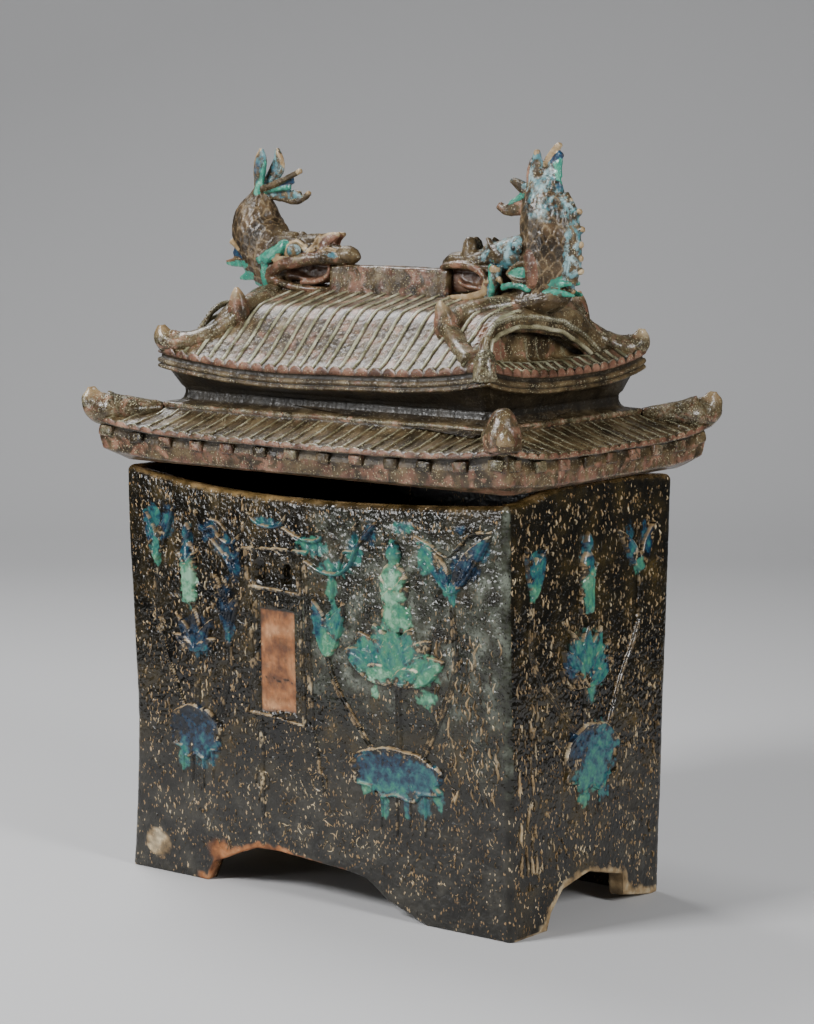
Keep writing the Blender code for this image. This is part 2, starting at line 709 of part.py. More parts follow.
def roof_shell(into):
    """The whole outside of the lid in one skin: land, fascia, lower tiles, neck, mouldings, upper tiles."""
    land = outward((LAND_OVERHANG, LAND_OVERHANG))
    fascia = [
        tier_ring(land, 0, radius=0.008),
        tier_ring(FASCIA, FASCIA_BOTTOM, 0.0060),
        tier_ring(grown(FASCIA, 0.0025), DENTIL_BOTTOM + 0.001, 0.0075),
        tier_ring(grown(FASCIA, 0.0005), EAVE_BOTTOM - 0.001, 0.0110),
    ]
    top = UPPER_EAVE_BOTTOM - 0.002
    swept = {"lift": UPPER_SWEEP, "radius": 0.004, "power": 3}
    neck = [
        tier_ring(TORUS, TORUS_TOP - 0.003, radius=0.004),
        tier_ring(TORUS, TORUS_TOP, radius=0.004),
        tier_ring(grown(NECK, 0.003), TORUS_TOP + 0.003, radius=0.008),
        tier_ring(NECK, NECK_WAIST, radius=0.008),
        tier_ring(grown(MOULDING, -0.004), MOULDING_BOTTOM, **swept),
        tier_ring(MOULDING, MOULDING_BOTTOM + 0.002, **swept),
        tier_ring(grown(MOULDING, -0.0022), MOULDING_BOTTOM + MOULDING_STEP, **swept),
        tier_ring(MOULDING, MOULDING_BOTTOM + 2 * MOULDING_STEP - 0.002, **swept),
        tier_ring(grown(MOULDING, -0.003), top, **swept),
    ]
    add_banded_shell(into, [fascia, lower_tiles(), neck, upper_tiles()])


def lid_hollow(into):
    """The space under the roof: inside the land, the neck and the upper roof, a wall's thickness away."""
    mouth = outward((LAND_OVERHANG - LAND_WIDTH, LAND_OVERHANG - LAND_WIDTH))
    inner = grown(NECK, -LID_WALL)
    wall_foot, shoulder, crown_edge = MOULDING[1] * 0.66, MOULDING[1] * 0.60, MOULDING[1] * 0.42
    back = GABLE_HALF_WIDTH - GABLE_RECESS - LID_WALL
    add_shell(into, [
        tier_ring(mouth, -0.02, radius=0.012),
        tier_ring(mouth, TORUS_TOP - 1.9 * LID_WALL, radius=0.012),
        tier_ring(inner, TORUS_TOP - LID_WALL, radius=0.012),
        tier_ring(inner, MOULDING_BOTTOM + 0.004, radius=0.012),
        tier_ring((back, wall_foot), GABLE_SILL - LID_WALL * 0.3, radius=0.02),
        tier_ring((back, shoulder), slope_height(shoulder) - 1.5 * LID_WALL, radius=0.02),
        tier_ring((back - 0.006, crown_edge), slope_height(crown_edge) - 1.5 * LID_WALL, radius=0.02),
        tier_ring((back - 0.035, SLOPE_TOP_HALF_DEPTH * 2), SLOPE_TOP - 1.6 * LID_WALL, radius=0.02),
    ])


def add_dentils(into):
    """Rows of small blocks under the lower eave, at the front and both sides; the back is plain."""
    wide, deep, tall = DENTIL_SIZE
    for side in (0, 1, 3):
        along, across = (FASCIA[0], FASCIA[1]) if side % 2 == 0 else (FASCIA[1], FASCIA[0])
        count = round(2 * (along - wide) / DENTIL_PITCH)
        for i in range(count + 1):
            t = (i / count * 2 - 1) * (along - wide * 0.62)
            z = DENTIL_BOTTOM + DENTIL_SWEEP * abs(t / along) ** 5
            ring = []
            for s, n in ((-0.5, -DENTIL_ROOT), (0.5, -DENTIL_ROOT), (0.5, deep), (-0.5, deep)):
                u, v = t + wide * s, across + n
                ring.append(((u, -v), (v, u), (-u, v), (-v, -u))[side])
            add_shell(into, [[(x, y, z + up) for x, y in ring] for up in (0, tall)])


def hip_point(inner, outer, share):
    return mix(inner[0], outer[0], share), mix(inner[1], outer[1], share)


def corner_horn(into, corner, inner, outer, stations):
    """A tapering bar over a hip; each station is a share of the way out, a height, and half sizes."""
    path = []
    for share, z, _, _ in stations:
        x, y = hip_point(inner, outer, share)
        path.append((corner[0] * x, corner[1] * y, z))
    add_tube(into, path, [(level, high) for _, _, level, high in stations])


def add_lower_horns(into):
    """Upturned corners of the lower roof over the hips. The near one melted to a broad knob in the kiln."""
    eave_top = EAVE_BOTTOM + TILE_END + CORNER_SWEEP
    horn = (
        (-0.10, TORUS_TOP - 0.0010, 0.0090, 0.0060), (0.60, eave_top + 0.0040, 0.0160, 0.0090),
        (0.88, eave_top + 0.0070, 0.0150, 0.0110), (1.02, eave_top + LOWER_HORN_RISE, 0.0035, 0.0030),
    )
    knob = (
        (-0.10, TORUS_TOP - 0.0010, 0.0090, 0.0060), (0.50, eave_top + 0.0070, 0.0160, 0.0100),
        (0.82, eave_top + 0.0090, 0.0200, 0.0140), (1.02, eave_top + 0.0060, 0.0085, 0.0090),
    )
    for corner in DESCENDING_HORNS:
        corner_horn(into, corner, TORUS, EAVE, knob if corner == NEAR_CORNER else horn)


def add_upper_horns(into):
    """Upturned corners of the upper roof: ridges run to them from the descending ridges' feet."""
    eave_top = UPPER_EAVE_BOTTOM + UPPER_TILE_END + UPPER_SWEEP
    for corner, foot in DESCENDING_HORNS.items():
        ridge = (
            (0.00, slope_height(foot[1]) + 0.0020, 0.0080, 0.0075), (0.42, eave_top + 0.0120, 0.0100, 0.0082),
            (0.80, eave_top + 0.0075, 0.0110, 0.0092), (0.99, eave_top + UPPER_HORN_RISE, 0.0030, 0.0028),
        )
        if corner == NEAR_CORNER:
            ridge = ridge[:2] + ((0.85, eave_top + 0.0040, 0.0105, 0.0085),)
            x, y = hip_point(foot, MOULDING, 0.90)
            stub = [(x, -y, eave_top + z) for z in (-0.012, 0.004, NEAR_STUB_RISE)]
            add_tube(into, stub, [(0.0130, 0.0115), (0.0125, 0.0110), (0.0060, 0.0060)], up=(1, 1, 0))
        corner_horn(into, corner, foot, MOULDING, ridge)


def add_descending_ridges(into):
    """Ridges that run down both slopes beside the gables, and end in upturned horns."""
    start_x, start_y = DESCENDING_START
    sizes = [(0.0130, 0.0090), (0.0125, 0.0085), (0.0110, 0.0085), (0.0105, 0.0080), (0.0020, 0.0020)]
    for (sx, sy), (x, y) in DESCENDING_HORNS.items():
        line = [(start_x, start_y, SLOPE_TOP - 0.0030)]
        for place, share in ((mix(start_x, x, 0.5), 0.43), (x, 0.74), (x, 0.98)):
            line.append((place, y * share, slope_height(y * share) + 0.0050))
        line.append((x - 0.0020, y + 0.0060, slope_height(y) + DESCENDING_HORN_RISE))
        add_tube(into, [(sx * a, sy * b, z) for a, b, z in line], sizes)


def gable_outline():
    """The arched opening of a gable, from its front foot over the top to its back foot and the sagging sill."""
    front, back = GABLE_SPAN
    foot = GABLE_SILL + GABLE_SILL_SAG
    arch = [(mix(front, back, share), foot + GABLE_RISE * high) for share, high in GABLE_SHAPE]
    return arch + [(mix(front, back, 0.5), GABLE_SILL)]


def cut_gables(into):
    for out in (-1, 1):
        planes = (GABLE_HALF_WIDTH - GABLE_RECESS, GABLE_HALF_WIDTH + SKIRT_DEPTH)
        add_shell(into, [[(out * x, y, z) for y, z in gable_outline()] for x in planes])


def hood_plate(into):
    """The clay between the right-hand gable's roof and the roll that stands a little above it."""
    under = [(y, z - HOOD_PLATE_DROP) for y, z in reversed(HOOD_LINE)]
    outline = [*HOOD_LINE, *under]
    add_shell(into, [[(GABLE_HALF_WIDTH - inset, y, z) for y, z in outline] for inset in HOOD_PLATE])


def add_hoods(into):
    """A roll round each gable's arch. The left-hand one lies on the roof."""
    for out in (-1, 1):
        path = []
        for y, z in HOOD_LINE:
            rise = (z - GABLE_SILL) / GABLE_RISE
            if out < 0:
                z = min(z, slope_height(y) - HOOD_RADIUS * 0.5)
            path.append((out * (GABLE_HALF_WIDTH + mix(0.0013, -0.0025, rise)), y, z))
        add_tube(into, path, [(HOOD_RADIUS, HOOD_RADIUS)] * len(path), sides=4, up=(1, 0, 0))


def add_ridge_band(into):
    """The thick ridge between the fish-dragons."""
    rings = []
    w = RIDGE_HALF_WIDTH
    foot, spread = RIDGE_FOOT
    drop, rounding = RIDGE_TOP_EDGE
    for z, half in (
        (foot, RIDGE_HALF_THICKNESS + spread),
        (RIDGE_RISE - drop, RIDGE_HALF_THICKNESS),
        (RIDGE_RISE, RIDGE_HALF_THICKNESS - rounding),
    ):
        rings.append([(x, y, SLOPE_TOP + z) for x, y in ((-w, -half), (w, -half), (w, half), (-w, half))])
    add_shell(into, rings)


def dragon_point(out, u, y, z):
    """A point of a fish-dragon: outward from the ridge's end, across it, and above the slopes' top."""
    return Vector((out * (RIDGE_HALF_WIDTH + u), y, SLOPE_TOP + z))


def add_spike(into, root, tip, wide, flat, sizes=((0, 0.75), (0.5, 1.0), (1, 0.12))):
    """A pointed, flattened form: a fin ray, a horn or a tail lobe."""
    ahead = (tip - root).normalized()
    side = ahead.cross(Vector((0, 1, 0)))
    side = side.normalized() if side.length > 0.2 else Vector((1, 0, 0))
    depth = side.cross(ahead)
    rings = []
    for share, size in sizes:
        centre = root.lerp(tip, share)
        turns = ((1, 0), (0, 1), (-1, 0), (0, -1))
        rings.append([centre + side * wide * size * a + depth * flat * size * b for a, b in turns])
    add_shell(into, rings)


def dragon_bodies(into):
    for out in (-1, 1):
        for spine, sides in ((BODY_SPINE, 8), (HEAD_SPINE, 8), (JAW_SPINE, 6)):
            path = [dragon_point(out, u, 0, z) for u, z, _, _ in spine]
            add_tube(into, path, [(across, along) for _, _, along, across in spine], sides)


def dragon_seats(into):
    """The clay under each fish-dragon, between its chin and the roof."""
    for out in (-1, 1):
        low = dragon_point(out, -0.040, -0.018, -0.0195)
        high = dragon_point(out, 0.028, 0.018, 0.008)
        add_box(into, (min(low.x, high.x), low.y, low.z), (max(low.x, high.x), high.y, high.z))


def fins_and_lobes(into):
    u, z = BODY_SPINE[-1][:2]
    for out in (-1, 1):
        for reach, top, y in TAIL_LOBES[out]:
            root = dragon_point(out, u, y * 0.3, z - 0.012)
            add_spike(into, root, dragon_point(out, reach, y, top), 0.0085, 0.0040)
        for sy in (-1, 1):
            root = dragon_point(out, -0.004, sy * 0.011, 0.020)
            for reach, height in CHEEK_FINS:
                tip = dragon_point(out, reach, sy * 0.0265, height)
                add_spike(into, root, tip, 0.0065, 0.0030, sizes=((0.3, 1.0), (1, 0.15)))


def dragon_horns_and_eyes(into):
    for out in (-1, 1):
        for sy in (-1, 1):
            horn = dragon_point(out, -0.058, sy * 0.009, 0.028), dragon_point(out, -0.0765, sy * 0.011, 0.055)
            add_spike(into, *horn, 0.0070, 0.0045, sizes=((0, 1.0), (1, 0.15)))
            eye = [dragon_point(out, -0.023 + du, sy * 0.0155, 0.041) for du in (-0.007, 0, 0.007)]
            add_tube(into, eye, [(0.003, 0.003), (0.0068, 0.0072), (0.003, 0.003)], sides=5)


def back_crests(into):
    """A serrated crest along each fish-dragon's back."""
    outline = [(BACK_KNOBS[0][0] - 0.020, BACK_KNOBS[0][1])]
    for i, (u, z) in enumerate(BACK_KNOBS):
        outline.append((u, z))
        if i + 1 < len(BACK_KNOBS):
            after = BACK_KNOBS[i + 1]
            outline.append((mix(u, after[0], 0.5) - 0.0045, mix(z, after[1], 0.5)))
    outline.append((BACK_KNOBS[-1][0] - 0.020, BACK_KNOBS[-1][1]))
    for out in (-1, 1):
        add_shell(into, [[dragon_point(out, u, y, z) for u, z in outline] for y in (-0.0037, 0.0037)])


def build_box(glaze):
    body = bmesh.new()
    box_shell(body)
    box = finish("urn_box", body, glaze)
    raised = bmesh.new()
    add_reliefs(raised)
    combine(box, finish("reliefs", raised, glaze), "UNION", self_crossing=True)
    cuts = bmesh.new()
    cut_front(cuts)
    combine(box, finish("door_cuts", cuts, glaze), "DIFFERENCE")
    return box


def build_lid(glaze):
    """The lid is shaped on its land at height 0, and then stands on the rim."""
    def piece(name, *shapes):
        made = bmesh.new()
        for shape in shapes:
            shape(made)
        rest = BOX_HEIGHT + REST_RISE + REST_CLEARANCE
        bmesh.ops.translate(made, verts=made.verts, vec=(0, 0, rest))
        return finish(name, made, glaze)

    lid = piece("urn_lid", roof_shell)
    combine(lid, piece("hood_plate", hood_plate), "UNION")
    combine(lid, piece("roof_spaces", cut_gables, lid_hollow), "DIFFERENCE")
    dragons = dragon_seats, dragon_bodies, fins_and_lobes, dragon_horns_and_eyes, back_crests
    for name, shapes in (
        ("dentils", (add_dentils,)),
        ("roof_ridges", (add_lower_horns, add_upper_horns, add_descending_ridges)),
        ("hoods", (add_hoods,)),
        ("ridge_and_dragons", (add_ridge_band, *dragons)),
    ):
        combine(lid, piece(name, *shapes), "UNION", self_crossing=len(shapes) > 1)
    return lid


for old in list(bpy.data.objects):
    bpy.data.objects.remove(old)
build_box(material("iron_glaze", (0.035, 0.030, 0.020), 0.25))
build_lid(material("thin_roof_glaze", (0.115, 0.090, 0.060), 0.35))
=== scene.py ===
"""The looks of a glazed stoneware burial urn in the shape of a small palace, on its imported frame.

Front along -Y, floor at height 0, metres. The box comes first, then its relief and glaze runs, then the lid
from its lower roof up to the fish-dragons, and last the studio.
"""

import math
import random

import bmesh
import bpy
import numpy as np
from mathutils import Matrix, Vector, noise


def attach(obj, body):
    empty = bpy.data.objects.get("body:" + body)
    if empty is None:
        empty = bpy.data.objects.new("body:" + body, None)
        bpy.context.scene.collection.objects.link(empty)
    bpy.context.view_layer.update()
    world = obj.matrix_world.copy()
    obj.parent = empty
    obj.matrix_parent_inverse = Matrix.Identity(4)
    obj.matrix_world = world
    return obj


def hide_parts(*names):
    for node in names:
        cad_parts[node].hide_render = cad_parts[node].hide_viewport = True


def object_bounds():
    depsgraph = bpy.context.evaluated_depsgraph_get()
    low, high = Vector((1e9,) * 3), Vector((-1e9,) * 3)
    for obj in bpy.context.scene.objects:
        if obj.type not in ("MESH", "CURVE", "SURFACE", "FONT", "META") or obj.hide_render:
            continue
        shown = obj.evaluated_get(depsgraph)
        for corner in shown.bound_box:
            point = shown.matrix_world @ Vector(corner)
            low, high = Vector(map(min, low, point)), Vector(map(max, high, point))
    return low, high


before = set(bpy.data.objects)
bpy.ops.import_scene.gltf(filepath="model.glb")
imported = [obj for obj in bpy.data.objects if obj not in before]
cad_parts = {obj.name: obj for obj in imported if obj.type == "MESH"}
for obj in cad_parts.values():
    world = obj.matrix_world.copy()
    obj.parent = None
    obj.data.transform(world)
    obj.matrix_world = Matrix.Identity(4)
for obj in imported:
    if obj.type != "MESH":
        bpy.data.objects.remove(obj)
cad_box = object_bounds()


# The stoneware box: four slab walls on bracket feet, fired as one with a floor above the foot arches. Its
# rim sagged at the front in the kiln. Thick iron glaze covers it and thins to tan on the rim and to bare
# pink clay along the arches.

RIM_HALF_WIDTH = 0.216
RIM_HALF_DEPTH = 0.1267
FOOT_HALF_WIDTH = 0.2177
FRONT_FOOT_DEPTH = 0.1180
BACK_FOOT_DEPTH = 0.1090
BOX_HEIGHT = 0.3845
BOX_WALL = 0.015
CORNER_RADIUS = 0.006
RIM_EDGE = 0.0055
FLOOR_UNDERSIDE = 0.047
FLOOR_TOP = 0.061
ARCH_RISE = 0.0408
LEFT_FLARE = (0.0098, 0.0037, 0.0143)
WAIST_HEIGHT = 0.15
RIM_CROWN = 0.0052
RIM_DIP = 0.0165
RIGHT_CORNER_SINK = 0.0045
FRONT_ARCH = (-0.134, 0.122)
FRONT_ARCH_SHAPE = (
    (0, 0), (0.033, 0.45), (0.16, 0.8), (0.24, 0.98), (0.35, 1), (0.64, 0.87), (0.74, 0.78), (0.83, 0.4),
    (1, 0),
)
SIDE_ARCH = (-0.0710, 0.1124)
SIDE_ARCH_SHAPE = (
    (0, 0), (0.032, 0.34), (0.136, 0.79), (0.376, 1), (0.550, 0.82), (0.697, 0.68), (0.709, 0.20), (1, 0),
)


def smooth(share):
    share = np.clip(share, 0.0, 1.0)
    return share * share * (3 - 2 * share)


def mix(a, b, share):
    return a + (b - a) * share


def half_width_at(z):
    return mix(FOOT_HALF_WIDTH, RIM_HALF_WIDTH, z / BOX_HEIGHT)


def half_depth_at(z, back):
    return mix(np.where(back, BACK_FOOT_DEPTH, FRONT_FOOT_DEPTH), RIM_HALF_DEPTH, z / BOX_HEIGHT)


def left_flare_at(z):
    rim, waist, foot = LEFT_FLARE
    above = mix(waist, rim, smooth((z - WAIST_HEIGHT) / (BOX_HEIGHT * 0.9 - WAIST_HEIGHT)))
    below = mix(waist, foot, np.clip(1 - z / WAIST_HEIGHT, 0, 1) ** 1.6)
    return np.where(z > WAIST_HEIGHT, above, below)


def rim_height(side, x, y):
    """The warped rim: low along the front, high where the lid rests at the sides and the back."""
    across, along = x / RIM_HALF_WIDTH, y / RIM_HALF_DEPTH
    top = BOX_HEIGHT + RIM_CROWN
    front_base = BOX_HEIGHT - RIM_DIP
    left_end = mix(front_base, BOX_HEIGHT, np.abs(across) ** 3.0)
    right_end = mix(front_base, BOX_HEIGHT - RIGHT_CORNER_SINK, np.abs(across) ** 1.6)
    front = np.where(across < 0, left_end, right_end)

    def crown(place, half, middle, reach, base):
        lift = 1.35 * np.cos(math.pi / 2 * np.clip(np.abs(place * half - middle) / reach, 0, 1))
        return mix(base, top, np.clip(lift, 0, 1))

    back = crown(across, RIM_HALF_WIDTH, 0, 0.190, BOX_HEIGHT)
    corner = np.where(side == 1, BOX_HEIGHT - RIGHT_CORNER_SINK, BOX_HEIGHT)
    ends = crown(along, RIM_HALF_DEPTH, 0.014, 0.112, mix(corner, BOX_HEIGHT, (along + 1) / 2))
    return np.where(side == 0, front, np.where(side == 2, back, ends))


def arch_height(span, shape, t):
    shares, heights = zip(*shape)
    return ARCH_RISE * np.interp((t - span[0]) / (span[1] - span[0]), shares, heights, left=0, right=0)


def plan_ring(half_width, half_depth, radius, stops, arc=3):
    """Plan of a round-cornered rectangle as arrays: x, y, side, and which way each point faces."""
    points = []
    for side in range(4):
        along, across = (half_width, half_depth) if side % 2 == 0 else (half_depth, half_width)
        places = stops[side] if side < 2 else [-s for s in reversed(stops[side])]
        reach = along - radius
        run = [(max(-reach, min(reach, s)), across, 0.0) for s in places]
        for step in range(1, arc + 1):
            turn = math.pi / 2 * step / (arc + 1)
            run.append((reach + radius * math.sin(turn), across - radius + radius * math.cos(turn), turn))
        for t, n, turn in run:
            x, y = ((t, -n), (n, t), (-t, n), (-n, -t))[side]
            facing = -math.pi / 2 + side * math.pi / 2 + turn
            points.append((x, y, side, math.cos(facing), math.sin(facing)))
    return np.array(points).T


def skin(name, rings, fields, closed_ends=True):
    """A mesh from rings of points: a grid wrapped round on itself, with values per point."""
    rows, count = rings.shape[:2]
    grid = bmesh.new()
    bmesh.ops.create_grid(grid, x_segments=count, y_segments=rows - 1, size=1)
    mesh = bpy.data.meshes.new(name)
    grid.to_mesh(mesh)
    grid.clear()
    wrapped = np.concatenate([rings, rings[:, :1]], axis=1)
    mesh.vertices.foreach_set("co", wrapped.ravel())
    for field, values in fields.items():
        layer = mesh.attributes.new(field, "FLOAT", "POINT")
        layer.data.foreach_set("value", np.concatenate([values, values[:, :1]], axis=1).ravel())
    grid.from_mesh(mesh)
    bmesh.ops.remove_doubles(grid, verts=grid.verts, dist=2e-6)
    if closed_ends:
        bmesh.ops.holes_fill(grid, edges=[e for e in grid.edges if e.is_boundary], sides=0)
    bmesh.ops.recalc_face_normals(grid, faces=grid.faces)
    bpy.data.meshes.remove(mesh)
    return grid


def facing(rings):
    """Unit normals of a wrapped grid of points, turned outwards."""
    across = np.roll(rings, -1, axis=1) - np.roll(rings, 1, axis=1)
    up = np.gradient(rings, axis=0)
    normal = np.cross(across, up)
    length = np.linalg.norm(normal, axis=2, keepdims=True)
    return normal / np.maximum(length, 1e-12)


def rough(points, size, octaves=3, seed=0.0):
    """Clay-like unevenness between about -1 and 1, with lumps of the given size in metres."""
    flat = points.reshape(-1, 3) / size + seed
    values = [noise.fractal(p, 1.0, 2.0, octaves) for p in flat.tolist()]
    return np.array(values).reshape(points.shape[:-1])


def piece(name, made, material, node=None, smooth_faces=True):
    """Puts a finished mesh on the urn, with its looks and the node it stands for."""
    mesh = bpy.data.meshes.new(name)
    made.to_mesh(mesh)
    made.free()
    if smooth_faces:
        mesh.shade_smooth()
    part = bpy.data.objects.new(name, mesh)
    bpy.context.scene.collection.objects.link(part)
    part.data.materials.append(material)
    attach(part, "root")
    if node:
        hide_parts(node)
    return part


# Copper glaze pooled on each side's relief, as (across, up, half width, half height, hue) in millimetres:
# hue 0 is cobalt, 0.5 turquoise and 1 green. It lies on the motifs and runs a little past them.
GLAZE_POOLS = {
    "front": (
        (-192, 335, 10, 24, 0.45), (-174, 338, 10, 20, 0.35), (-187, 306, 6, 15, 0.75),
        (-149, 318, 9, 22, 0.35), (-148, 280, 11, 26, 0.95), (-142, 236, 26, 22, 0.15),
        (-138, 222, 14, 12, 0.50), (-145, 146, 32, 26, 0.15), (-133, 128, 22, 24, 0.45),
        (-160, 118, 10, 20, 0.55), (-125, 330, 14, 14, 0.30), (-104, 318, 16, 13, 0.35),
        (-92, 300, 10, 18, 0.30), (-103, 262, 13, 28, 0.12), (-100, 238, 7, 10, 0.45),
        (-52, 344, 22, 6, 0.45), (0, 327, 22, 12, 0.60), (26, 310, 24, 10, 0.60),
        (48, 326, 12, 18, 0.50), (66, 344, 10, 14, 0.35), (22, 290, 9, 16, 0.70), (6, 258, 10, 22, 0.45),
        (26, 262, 11, 20, 0.60), (16, 242, 15, 14, 0.85), (93, 329, 8, 15, 0.62),
        (93, 298, 14, 26, 0.90), (98, 272, 20, 15, 0.85), (104, 352, 14, 8, 0.55),
        (93, 240, 30, 26, 0.68), (62, 236, 24, 16, 0.60), (124, 228, 24, 16, 0.80),
        (75, 222, 18, 8, 0.90), (70, 204, 6, 9, 0.85), (128, 204, 14, 11, 0.80),
        (128, 326, 11, 20, 0.60), (146, 312, 14, 12, 0.45), (170, 322, 20, 18, 0.20),
        (188, 340, 14, 12, 0.40), (155, 300, 12, 10, 0.60), (166, 356, 7, 6, 0.30),
        (66, 135, 20, 18, 0.35), (92, 134, 26, 20, 0.30), (122, 132, 26, 18, 0.45),
        (88, 122, 28, 12, 0.65), (80, 104, 5, 16, 0.60), (104, 106, 6, 14, 0.45),
        (124, 110, 10, 14, 0.50), (140, 116, 8, 14, 0.60), (58, 116, 10, 8, 0.70),
    ),
    "right": (
        (-85, 322, 15, 22, 0.50), (-87, 302, 10, 10, 0.80), (-9, 330, 11, 20, 0.40),
        (-8, 296, 11, 30, 0.75), (-10, 240, 30, 22, 0.60), (8, 222, 20, 16, 0.55),
        (-34, 232, 14, 14, 0.30), (0, 205, 10, 16, 0.60), (58, 330, 8, 22, 0.40), (82, 330, 8, 20, 0.30),
        (70, 307, 7, 10, 0.70), (-20, 160, 22, 20, 0.20), (8, 152, 30, 26, 0.50),
        (-2, 128, 30, 18, 0.60), (-12, 112, 10, 12, 0.65), (18, 112, 10, 12, 0.50),
    ),
    "back": (
        (-105, 238, 44, 26, 0.55), (-105, 136, 44, 28, 0.35), (105, 238, 44, 26, 0.50),
        (105, 136, 44, 28, 0.40),
    ),
    "left": (
        (-10, 238, 44, 26, 0.55), (-10, 136, 44, 28, 0.35),
    ),
}
SIDES = ("front", "right", "back", "left")


def painted(side, t, z):
    """How much copper glaze lies at a place on a face, and its hue."""
    t, z = np.asarray(t, float), np.asarray(z, float)
    spots = np.stack([t, z, np.zeros_like(t)], axis=-1)
    ragged = 0.42 * rough(spots, 0.007, 3, 5.0)
    amount = np.zeros_like(t)
    weight = np.full_like(t, 1e-6)
    hue = np.zeros_like(t)
    for *pool, shade in GLAZE_POOLS[side]:
        across, up, wide, tall = (size * 0.001 for size in pool)
        away = np.sqrt(((t - across) / wide) ** 2 + ((z - up) / tall) ** 2)
        here = np.clip(1.68 - 1.25 * away + ragged * 1.3, 0, 1)
        amount = np.maximum(amount, here)
        weight += here ** 2
        hue += here ** 2 * shade
    return amount, np.clip(hue / weight - 0.30 * (1 - amount), 0, 1)


SCAR = (-0.197, 0.0268)
SCAR_HALF = (0.0165, 0.0125)
DOOR_LEFT = -0.064
DOOR_FOOT = 0.1705
DOOR_SLANT = 0.06


def from_scar(t, z):
    """Below 1 inside the bald kiln scar at the front's lower left."""
    return ((t - SCAR[0]) / SCAR_HALF[0]) ** 2 + ((z - SCAR[1]) / SCAR_HALF[1]) ** 2


def above_door_foot(t, z):
    """Height above the slanting lower edge of the door panel."""
    return z - DOOR_FOOT - (t - DOOR_LEFT) * DOOR_SLANT


def wall_fields(side, t, z, thinner=0.24):
    """Where each kind of surface shows on an outer wall, 0 to 1. Copper glaze thins beside the relief."""
    turquoise, hue = painted(side, t, z)
    turquoise = np.clip(turquoise - thinner, 0, 1)
    spots = np.stack([t, z, np.full_like(t, SIDES.index(side) * 0.7)], axis=-1)
    blotch = rough(spots, 0.045, 3, 1.0)
    fine = rough(spots, 0.008, 2, 9.0)
    haze = np.zeros_like(t)
    # Grey-blue over the front's right half and beside its near corner: partly a milky film in the glaze,
    # partly a painted sheen where a soft light's reflection lies
    if side == "front":
        right_half = smooth((t + 0.035 + 0.02 * blotch) / 0.07)
        haze = right_half * smooth((z - 0.135) / 0.09) * smooth((0.372 - z) / 0.03)
        haze *= 0.72 + 0.45 * blotch
        corner_run = 0.7 * smooth((t - 0.150) / 0.03) * smooth((z - 0.10) / 0.08)
        corner_run *= smooth((0.345 - z) / 0.06)
        haze = np.maximum(haze, corner_run * (0.75 + 0.5 * fine))
    charcoal = smooth((0.165 + 0.035 * blotch - z) / 0.10)
    if side == "right":
        charcoal *= 0.25 + 0.75 * smooth((t - 0.02) / 0.06)
    top = rim_height(SIDES.index(side), t, t)
    rim = smooth((z - top + 0.0055 + 0.003 * fine) / 0.004)
    if side == "front":
        rim *= 0.25 + 0.75 * smooth((0.04 - t + 0.03 * blotch) / 0.09)
    else:
        rim *= 0.35 + 0.4 * blotch
    clay = np.zeros_like(t)
    cream = np.zeros_like(t)
    if side in ("front", "back"):
        over = z - arch_height(FRONT_ARCH, FRONT_ARCH_SHAPE, t)
        near = smooth((0.0055 * (1.35 - 1.1 * smooth((t + 0.09) / 0.10)) + 0.004 * fine - over) / 0.003)
        clay = near * smooth((t + 0.150) / 0.01) * smooth((0.065 - t) / 0.05)
        shoulder = ((t + 0.118) / 0.017) ** 2 + ((z - 0.030) / 0.012) ** 2
        clay = np.maximum(clay, smooth(1.25 - shoulder + 0.5 * fine))
    else:
        over = z - arch_height(SIDE_ARCH, SIDE_ARCH_SHAPE, t)
        in_arch = smooth((t + 0.080) / 0.006) * smooth((0.118 - t) / 0.006)
        cream = smooth((0.0060 + 0.005 * fine - over) / 0.003) * in_arch * 0.7
    if side == "front":
        door = smooth((t + 0.0635 + 0.001 * fine) / 0.0015) * smooth((-0.0225 + 0.001 * fine - t) / 0.0015)
        door = door * smooth(above_door_foot(t, z) / 0.002) * smooth((0.2645 - z) / 0.002)
        door = door * (0.85 + 0.45 * rough(spots * np.array([1.0, 0.35, 1.0]), 0.0026, 2, 7.0))
        crack = np.abs(z - 0.2010 + 0.07 * (t + 0.043) - 0.0016 * np.sin(t * 330))
        door = door * smooth((crack - 0.0002) / 0.0008)
        clay = np.maximum(clay, door)
        haze = haze * (1 - door)
        scar = from_scar(t, z)
        ribs = 0.5 + 0.5 * np.sin((z - 0.027 + 0.35 * (t - SCAR[0]) ** 2 / 0.03) * 1700 + 3 * fine)
        worn = 0.40 + 0.55 * ribs * (0.8 + 0.5 * fine)
        cream = np.maximum(cream, smooth((1.1 - scar + 0.35 * fine) / 0.25) * worn)
    return {
        "turquoise": turquoise, "hue": hue, "haze": np.clip(haze, 0, 1) * (1 - rim), "charcoal": charcoal,
        "clay": clay, "cream": cream, "rim": rim,
    }


FINE_STEP = 0.0019
BACK_STEP = 0.0046
LEFT_STEP = 0.0040
GRID_HALF_WIDTH = 0.2097
GRID_HALF_DEPTH = 0.1204


